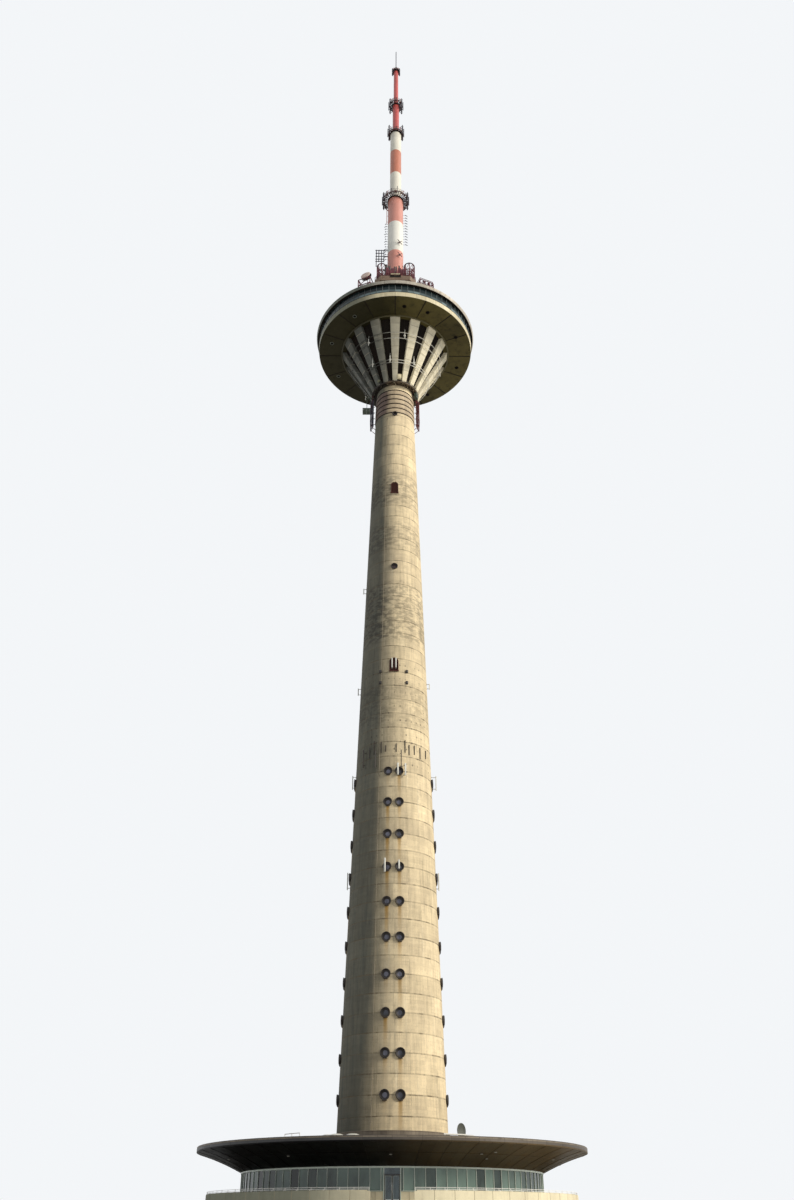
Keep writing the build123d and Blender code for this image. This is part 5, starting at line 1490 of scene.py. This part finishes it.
def fit_mast(sizes):
    """For each tube, rings at its foot and top, and posts and bars at even bearings of its gallery."""
    flanges, bolts, arcs, floors = [], [], [], []
    inner_r = [radius for radius, foot, top in TUBES[1:]] + [0.02]
    spots = even_bearings(18)
    for (radius, foot, top), gallery, within, count in zip(TUBES, GALLERY_R, inner_r, (30, 20, 18, 12)):
        flanges.append(spun([(radius - 0.001, foot), (radius + 0.022, foot), (radius + 0.022, foot + 0.012),
            (radius + 0.004, foot + 0.034), (radius - 0.001, foot + 0.034)], steps=48))
        bolts.append(bars_at(spots, (radius + 0.014, foot + 0.01), (radius + 0.014, foot + 0.022), 0.0045))
        # painted shadow: a near-black collar at each tube's top stands for the shadow under its gallery
        arcs.append(spun(strip(radius - 0.001, radius + 0.024, top - 0.032, top - 0.001), steps=64))
        floors.append(spun(strip(within - 0.012, radius + 0.018, top - 0.002, top + GALLERY_T), steps=64))
        floors.append(spun(strip(gallery - 0.012, gallery, top - 0.004, top + 0.026), steps=72))
        for share in (0.36, 0.68):
            floors.append(spun(bead(radius + share * (gallery - radius), top + 0.004, 0.007, 6), steps=64))
        spokes = even_bearings(count) + 3
        floors.append(bars_at(spokes, (radius + 0.004, top + 0.004), (gallery - 0.006, top + 0.004), 0.0095))
    piece("mast_flanges_red", flanges[0] + flanges[2] + flanges[3], "Mast red paint", "mast_red")
    piece("mast_flange_white", flanges[1], "Mast white paint", "mast_white")
    piece("mast_bolts", bolts, *MAST_STEEL)
    piece("gallery_shadow_collars", arcs, "Slot paint", "gallery_dark")
    piece("gallery_floors", floors, "Gallery paint", "gallery_dark", stands_for=("mast_galleries",))

    rails = [gallery_rail(r - 0.008, top + GALLERY_T, sizes.rail_height if i < 3 else 0.06,
        20 if i == 0 else 12) for i, ((radius, foot, top), r) in enumerate(zip(TUBES, GALLERY_R))]
    piece("gallery_rails", rails, "Gallery paint", "gallery_dark")

    plates, bars, marks = [], [], []
    for (radius, foot, top), gallery, (low, high, many, spread) in zip(TUBES, GALLERY_R, ARRAYS):
        turn = 90 + spread * np.linspace(-1, 1, many)
        bearings = np.concatenate([turn, -turn])
        reach = gallery + 0.012
        wide = 0.1 * gallery + 0.028
        plates.append(block(0.018, 0.018, high - low).around(bearings, reach, (low + high) / 2))
        for share in (0.04, 0.27, 0.5, 0.73, 0.96):
            z = low + share * (high - low)
            plates.append(block(wide, 0.02, 0.028).around(bearings, reach, z))
            inner = at_bearing(bearings, radius, z)
            outer = at_bearing(bearings, reach, z)
            bars.append(rods(inner, outer, 0.0075, 4))
        for share in (0.155, 0.845):
            z = low + share * (high - low)
            marks.append(block(0.7 * wide, 0.01, 0.016).around(bearings, reach + 0.006, z))
    piece("gallery_arrays", plates, *NAVY, stands_for=("aerial_panels",))
    piece("array_bars", bars, *NAVY)
    piece("array_marks", marks, *BARE_STEEL)

    ladder = []
    for radius, foot, top in TUBES:
        z = np.arange(foot + 0.05, top - 0.02, 0.045)
        for side in (-3.2, 3.2):
            turn = 180 + side * TUBES[0][0] / radius
            ladder.append(bars_at(turn, (radius + 0.03, foot + 0.03), (radius + 0.03, top - 0.01), 0.0035))
        turn = 3.2 * TUBES[0][0] / radius
        left = at_bearing(180 - turn, radius + 0.03, z)
        right = at_bearing(180 + turn, radius + 0.03, z)
        ladder.append(rods(left, right, 0.0022, 4))
        hoop_z = np.arange(foot + 0.35, top - 0.1, 0.22)
        hoop = front_ring(0.042, 0.0025, 18, 4).turned(FACE_UP)
        ladder.append(hoop.around(180, radius + 0.066, hoop_z))
    piece("mast_ladder", ladder, *MAST_STEEL)

    radius = TUBES[0][0]
    y = -0.04
    level = np.array([21.52, 21.61, 21.72, 21.84])
    array = rods([(-0.498, y, 21.32), (-0.432, y, 21.5), (-0.362, y, 21.36), (-0.3, y, 21.5)],
        [(-0.498, y, 21.97), (-0.432, y, 21.97), (-0.362, y, 21.97), (-0.3, y, 21.97)], 0.011)
    array += rods(triples(-0.52, y, level), triples(-0.29, y, level), 0.011)
    array += rods([(-0.525, y, 21.955), (-0.36, y, 21.72)],
        [(-radius + 0.01, y, 21.955), (-radius + 0.01, y, 21.72)], 0.0105)
    piece("left_aerial_frame", array, *NAVY)

    right_z = np.linspace(22.19, 23.39, 12)
    left_z = np.linspace(21.58, 23, 15)
    wave = 0.016 * np.sin(np.arange(15) * 2.1)
    dashes = rods(triples(0.262, -0.03, right_z + 0.022), triples(0.318, -0.03, right_z - 0.028), 0.008)
    dashes += rods(triples(radius - 0.006, -0.03, right_z), triples(0.27, -0.03, right_z), 0.0035)
    dashes += rods(triples(-0.25 + wave, -0.05, left_z + 0.024),
        triples(-0.282 - wave, -0.05, left_z - 0.022), 0.008)
    dashes += rods(triples(0.006 - radius, -0.05, left_z), triples(-0.262, -0.05, left_z), 0.0035)
    piece("side_dipoles", dashes, *NAVY)
    pole = rods((-0.235, -0.05, 23.02), (-0.235, -0.05, 23.62), 0.0085, 8)
    pole += rods([(-0.19, -0.04, z) for z in (23.1, 23.35, 23.58)],
        [(-0.235, -0.05, z) for z in (23.1, 23.35, 23.58)], 0.005)
    piece("side_pole", pole, "Mast red paint", "mast_red")

    crosses = [dipole(radius, 0.062, 0.0095).around(bearing, 0, z)
        for bearing, z in ((26.5, 22.06), (26.5, 21.57), (-160, 22.06), (-160, 21.57))]
    piece("crossed_dipoles", crosses, "Gallery paint", "aerial_dark")

    poles = []
    for i, count, height in ((0, 12, 0.24), (1, 7, 0.15), (2, 9, 0.16), (3, 6, 0.08)):
        gallery, top = GALLERY_R[i], TUBES[i][2] + GALLERY_T
        bearings = even_bearings(count) + 9
        heights = height * (0.62 + 0.38 * np.cos(np.arange(count) * 2.4))
        feet = at_bearing(bearings, gallery - 0.03, top)
        heads = feet + triples(0, 0, heights)
        poles.append(rods(feet, heads, 0.007, 8))
        poles.append(rods(heads - np.array([0, 0, 0.04]), heads, 0.0115, 8))
    piece("gallery_poles", poles, *NAVY)

    boxes = []
    for i, count in ((0, 14), (1, 8), (2, 8), (3, 5)):
        bearings = even_bearings(count) + 5 * np.sin(np.arange(count) * 1.7)
        gallery, top = GALLERY_R[i], TUBES[i][2] + GALLERY_T
        size = 0.03 + 0.11 * gallery
        for k, bearing in enumerate(bearings):
            tall = size * (0.8 + 0.5 * math.sin(2.3 * k))
            boxes.append(block(size, 0.6 * size, tall).around(bearing, gallery - 0.4 * size, top + tall / 2))
    piece("gallery_boxes", boxes[0::2], "Platform paint", "platform_brown")
    piece("gallery_pale_boxes", boxes[1::2], "Head edge sheet", "roof_edge_metal")

    lamps = []
    dome = [(0.0001, 0.026), (0.006, 0.024), (0.011, 0.018), (0.012, 0.008), (0.011, 0), (0.0001, 0)]
    for i in range(4):
        base = TUBES[i][2] + GALLERY_T + (0.05 if i == 3 else 0.1)
        lamps.append(spun(dome, steps=16).around([40, 140, 220, 320], GALLERY_R[i] - 0.01, base))
    piece("warning_lamps", lamps, "Warning lamp glass", "mast_red")

    cone_tip = spun([(0.0001, 30.4), (0.03, 30.385), (0.044, 30.36), (0.046, 30.312), (0.0001, 30.312)],
        steps=32)
    cone_tip += spun([(0.0118, 30.55), (0.02, 30.556), (0.02, 30.572), (0.0118, 30.578)], steps=24)
    cone_tip += bars_at((0, 120, 240), (0.028, 30.38), (0.013, 30.56), 0.003)
    piece("needle_foot", cone_tip, *MAST_STEEL)


class TOWER_OT_mast(bpy.types.Operator):
    """Flanges, galleries, rails, aerial arrays, ladder, lamps and poles on the mast"""

    bl_idname = "tower.mast"
    bl_label = "Mast fittings"

    def execute(self, context):
        fit_mast(context.scene.tower_fittings)
        return {"FINISHED"}


def fit_hall(sizes):
    """Bars along the straight slopes of roof and soffit, and profiles swept round both rims."""
    bearings = even_bearings(sizes.roof_seams)
    inner, outer = shaft_radius(ROOF_TOP_Z) + 0.035, EAVES_R - 0.004
    lift = 0.004
    starts = at_bearing(bearings, inner, roof_height(inner) + lift)
    ends = at_bearing(bearings, outer, roof_height(outer) + lift)
    piece("roof_seams", rods(starts, ends, 0.007, 4), "Roof sheet", "roof_sheet")

    rim = ROOF_RIM_Z
    drip = [(EAVES_R - 0.03, rim + 0.012), (EAVES_R - 0.002, rim + 0.012), (EAVES_R - 0.0005, rim + 0.018),
        (EAVES_R - 0.006, rim + 0.024), (EAVES_R - 0.03, rim + 0.022)]
    low = LOW["roof_fascia"].z
    lower = [(EAVES_R - 0.014, low - 0.016), (EAVES_R - 0.001, low - 0.014), (EAVES_R - 0.0005, low - 0.004),
        (EAVES_R - 0.014, low - 0.004)]
    piece("fascia_trims", spun(drip, steps=256) + spun(lower, steps=256), "Fascia sheet", "fascia_metal")

    lamp_spots = ((-0.5, 2.55), (27, 2.6), (30.5, 2.48), (31, 2.66), (-33, 2.55), (62, 2.58),
        (-64, 2.58), (95, 2.58), (128, 2.58), (160, 2.58), (192, 2.58),
        (226, 2.58), (260, 2.58))
    cups, covers = [], []
    for bearing, r in lamp_spots:
        z = soffit_height(r)
        cups.append(front_ring(0.016, 0.0045, 20, 6).turned(FACE_UP).around(bearing, r, z - 0.006))
        covers.append(front_disc(0.0135, 0.004, 16, 0.4).turned(FACE_UP).around(bearing, r, z - 0.006))
    piece("soffit_lamp_rims", cups, "Galvanised steel", "mullion_metal")
    piece("soffit_lamps", covers, "Lamp cover", "rail_white")

    domes = []
    dome = [(0.0001, 0.06), (0.055, 0.055), (0.1, 0.04), (0.122, 0.018), (0.126, 0), (0.0001, 0)]
    for bearing, r in ((-29, 1.62), (-24, 1.38), (-38, 1.5), (40, 1.7), (120, 1.5), (200, 1.5)):
        domes.append(spun(dome, steps=28).moved(*at_bearing(bearing, r, roof_height(r) - 0.004)))
    piece("roof_domes", domes, *PLASTIC)

    low_frame = []
    for bearing in (-52, -47, -42):
        point = at_bearing(bearing, 1.95, roof_height(1.95) - 0.006)
        low_frame.append(rods(point, point + np.array([0, 0, 0.085]), 0.005))
    top = [at_bearing(b, 1.95, roof_height(1.95) + 0.079) for b in (-52, -47, -42)]
    low_frame.append(rods([top[0], top[1]], [top[1], top[2]], 0.005))
    bar_z = roof_height(1.9) + 0.045
    low_frame.append(rods(at_bearing(22, 1.9, bar_z), at_bearing(33, 1.9, bar_z), 0.009))
    for bearing in (22.5, 32.5):
        low_frame.append(bars_at(bearing, (1.9, bar_z - 0.05), (1.9, bar_z), 0.006))
    piece("roof_frames", low_frame, "Rail paint", "rail_white")

    collar = spun(bead(shaft_radius(COLLAR_TOP) + 0.022, COLLAR_TOP, 0.007), steps=128)
    collar += spun(bead(shaft_radius(ROOF_TOP_Z) + 0.03, ROOF_TOP_Z + 0.006, 0.008), steps=128)
    piece("collar_beads", collar, "Roof sheet", "roof_sheet")

    mid = (HALL_R + EAVES_R) / 2
    r = np.linspace(HALL_R + 0.02, EAVES_R - 0.015, 7)
    ribs = []
    for bearing in even_bearings(48):
        path = at_bearing(bearing, r, soffit_height(r) - 0.001)
        ribs.append(rods(path[:-1], path[1:], 0.0035, 4))
    ribs.append(spun(bead(mid, soffit_height(mid) - 0.001, 0.0035, 6), steps=160))
    piece("soffit_battens", ribs, "Eaves bronze", "soffit_bronze")


class TOWER_OT_hall(bpy.types.Operator):
    """Seams, trims, domes, frames and beads of the hall's roof, lamps and battens under its eaves"""

    bl_idname = "tower.hall"
    bl_label = "Hall roof fittings"

    def execute(self, context):
        fit_hall(context.scene.tower_fittings)
        return {"FINISHED"}


def fit_podium():
    """Profiles swept round but for an opening, and a rod along the front edge of each step."""
    # half the opening for the steps, in degrees
    gap = 6.6
    wall = PODIUM_R
    top = PARAPET_TOP
    coping = [(wall - 0.028, top), (wall - 0.028, top + 0.007), (wall - 0.006, top + 0.01),
        (wall - 0.0005, top + 0.004), (wall - 0.0005, top - 0.006),
        (wall - 0.004, top - 0.006), (wall - 0.004, top)]
    piece("parapet_coping", spun(coping, 220, gap, 360 - 2 * gap), "Podium render", "podium_stone")
    turns = gap + (360 - 2 * gap) * np.arange(87) / 86
    feet = block(0.016, 0.016, 0.005).around(turns[1:-1], wall - 0.0125, top + 0.011)
    piece("railing_feet", feet, "Rail paint", "rail_white")
    risers = 27
    steps = np.arange(1, risers)
    tread = 0.029
    notch = -(PODIUM_R - 0.19)
    y = notch - tread * (risers - steps) + 0.003
    edge_z = TERRACE_Z / risers * steps - 0.0005
    nosing = rods(triples(-0.272, y, edge_z), triples(0.272, y, edge_z), 0.0022)
    piece("step_nosings", nosing, "Galvanised steel", "step_stone")
    glass_low = HIGH["hall_dado"].z
    sill = [(HALL_R - 0.006, glass_low - 0.002), (HALL_R + 0.008, glass_low - 0.004),
        (HALL_R + 0.009, glass_low + 0.002), (HALL_R - 0.006, glass_low + 0.008)]
    # half the opening for the doors, in degrees
    half = 3.2
    piece("hall_sill", spun(sill, 240, half, 360 - 2 * half), "Mullion metal", "mullion_metal")


class TOWER_OT_podium(bpy.types.Operator):
    """Coping and railing feet of the parapet, step nosings and the hall's sill"""

    bl_idname = "tower.podium"
    bl_label = "Podium fittings"

    def execute(self, context):
        fit_podium()
        return {"FINISHED"}


class TOWER_OT_doors(bpy.types.Operator):
    """Glazing beads and kick plates on the two door leaves"""

    bl_idname = "tower.doors"
    bl_label = "Door fittings"

    def execute(self, context):
        for side in ("left", "right"):
            low, high = LOW[f"door_pane_{side}"], HIGH[f"door_pane_{side}"]
            y_front, y_back = low.y - 0.0015, high.y + 0.0015
            beads = []
            for y in (y_front, y_back):
                ring = np.array([(low.x, y, low.z), (high.x, y, low.z),
                    (high.x, y, high.z), (low.x, y, high.z)])
                beads.append(rods(ring, np.roll(ring, -1, axis=0), 0.0016))
            width = high.x - low.x
            kick = block(width, 0.0015, 0.016).moved((low.x + high.x) / 2,
                LOW[f"door_leaf_{side}"].y, low.z - 0.011)
            piece(f"door_beads_{side}", beads, "Mullion metal", "mullion_metal", body=f"{side}_door")
            piece(f"door_kick_{side}", kick, "Pull steel", "pull_steel", body=f"{side}_door")
        return {"FINISHED"}


def set_stage(context):
    """The floor is a disc of rings at growing radii, and the light and the camera come from angles."""
    stage = context.scene.tower_stage
    reach = np.concatenate([[0.001], np.geomspace(2.0, 400.0, 24)])[:, None]
    angle = np.linspace(0, 2 * np.pi, 96, endpoint=False)[None, :]
    points = np.stack([reach * np.cos(angle), reach * np.sin(angle), 0 * reach * angle - 0.0005], axis=-1)
    shape = grid(points, wrap_v=True)
    mesh = bpy.data.meshes.new("floor")
    mesh.from_pydata(shape.points.tolist(), [], shape.quads.tolist())
    floor = bpy.data.objects.new("floor", mesh)
    context.scene.collection.objects.link(floor)
    work, shader = begin_material("Pale floor")
    fine = work.grain(3.0)
    tone = work.mix(fine, (0.8, 0.8, 0.78), (0.84, 0.84, 0.83))
    end_material(work, shader, tone, work.spread(fine, 0.3, 0.7, 0.7, 0.85), fine, 0.0005)
    mesh.materials.append(bpy.data.materials["Pale floor"])

    world = bpy.data.worlds.new("Soft sky")
    world.use_nodes = True
    context.scene.world = world
    work = Tree(world.node_tree)
    background = world.node_tree.nodes["Background"]
    background.inputs["Color"].default_value = (0.9, 0.95, 1.0, 1.0)
    background.inputs["Strength"].default_value = stage.sky_strength
    pale = work.add("ShaderNodeBackground", {"Color": (0.9, 0.92, 0.94, 1.0), "Strength": 1.0})
    rays = work.add("ShaderNodeLightPath").outputs
    seen = work.most(rays["Is Camera Ray"], work.most(rays["Is Glossy Ray"], rays["Is Transmission Ray"]))
    shown = work.add("ShaderNodeMixShader", {0: seen, 1: background.outputs[0], 2: pale.outputs[0]})
    work.join(shown.outputs[0], world.node_tree.nodes["World Output"].inputs["Surface"])

    lamp = bpy.data.lights.new("key", "SUN")
    lamp.energy = stage.sun_strength
    lamp.angle = math.radians(20)
    lamp.color = (1.0, 0.93, 0.8)
    key = bpy.data.objects.new("key", lamp)
    context.scene.collection.objects.link(key)
    away = at_bearing(math.degrees(stage.sun_bearing), math.cos(stage.sun_height), math.sin(stage.sun_height))
    key.rotation_euler = (math.pi / 2 - stage.sun_height, 0.0, math.atan2(away[0], -away[1]))

    lens = bpy.data.cameras.new("view")
    lens.lens = stage.lens
    lens.sensor_width = 36.0
    lens.clip_end = 2000.0
    camera = bpy.data.objects.new("view", lens)
    context.scene.collection.objects.link(camera)
    aim = (Matrix.Rotation(-stage.heading, 4, "Z") @ Matrix.Rotation(math.pi / 2 + stage.pitch, 4, "X")
        @ Matrix.Rotation(stage.roll, 4, "Z"))
    camera.matrix_world = Matrix.Translation((0.0, -stage.distance, stage.eye)) @ aim
    context.scene.camera = camera
    context.scene.view_settings.view_transform = "Standard"


class TOWER_OT_stage(bpy.types.Operator):
    """Pale floor and background, soft key light, even fill and the camera"""

    bl_idname = "tower.stage"
    bl_label = "Stage"

    def execute(self, context):
        set_stage(context)
        return {"FINISHED"}


STEPS = (TOWER_OT_finishes, TOWER_OT_windows, TOWER_OT_shaft, TOWER_OT_neck, TOWER_OT_cone, TOWER_OT_head,
    TOWER_OT_crown, TOWER_OT_mast, TOWER_OT_hall, TOWER_OT_podium, TOWER_OT_doors, TOWER_OT_stage)


class VIEW3D_PT_tower(bpy.types.Panel):
    """Lists the steps that dress the tower"""

    bl_idname = "VIEW3D_PT_tower"
    bl_label = "Concrete tower"
    bl_space_type = "VIEW_3D"
    bl_region_type = "UI"
    bl_category = "Tower"

    def draw(self, context):
        for step in STEPS:
            self.layout.operator(step.bl_idname)
        for group in (context.scene.tower_colours, context.scene.tower_fittings, context.scene.tower_stage):
            for name in group.bl_rna.properties.keys():
                if name not in ("rna_type", "name"):
                    self.layout.prop(group, name)


GROUPS = {"tower_colours": TowerColours, "tower_fittings": TowerFittings, "tower_stage": TowerStage}


def register():
    """Registers the classes and hangs the groups of sizes and colours on the scene."""
    for kind in (*GROUPS.values(), *STEPS, VIEW3D_PT_tower):
        bpy.utils.register_class(kind)
    for name, kind in GROUPS.items():
        setattr(bpy.types.Scene, name, bpy.props.PointerProperty(type=kind))


def unregister():
    """Takes the groups off the scene and the classes off the register."""
    for name in GROUPS:
        delattr(bpy.types.Scene, name)
    for kind in reversed((*GROUPS.values(), *STEPS, VIEW3D_PT_tower)):
        bpy.utils.unregister_class(kind)


def main():
    """Runs every step in order."""
    register()
    bpy.ops.tower.finishes()
    bpy.ops.tower.windows()
    bpy.ops.tower.shaft()
    bpy.ops.tower.neck()
    bpy.ops.tower.cone()
    bpy.ops.tower.head()
    bpy.ops.tower.crown()
    bpy.ops.tower.mast()
    bpy.ops.tower.hall()
    bpy.ops.tower.podium()
    bpy.ops.tower.doors()
    bpy.ops.tower.stage()


if __name__ == "__main__":
    main()
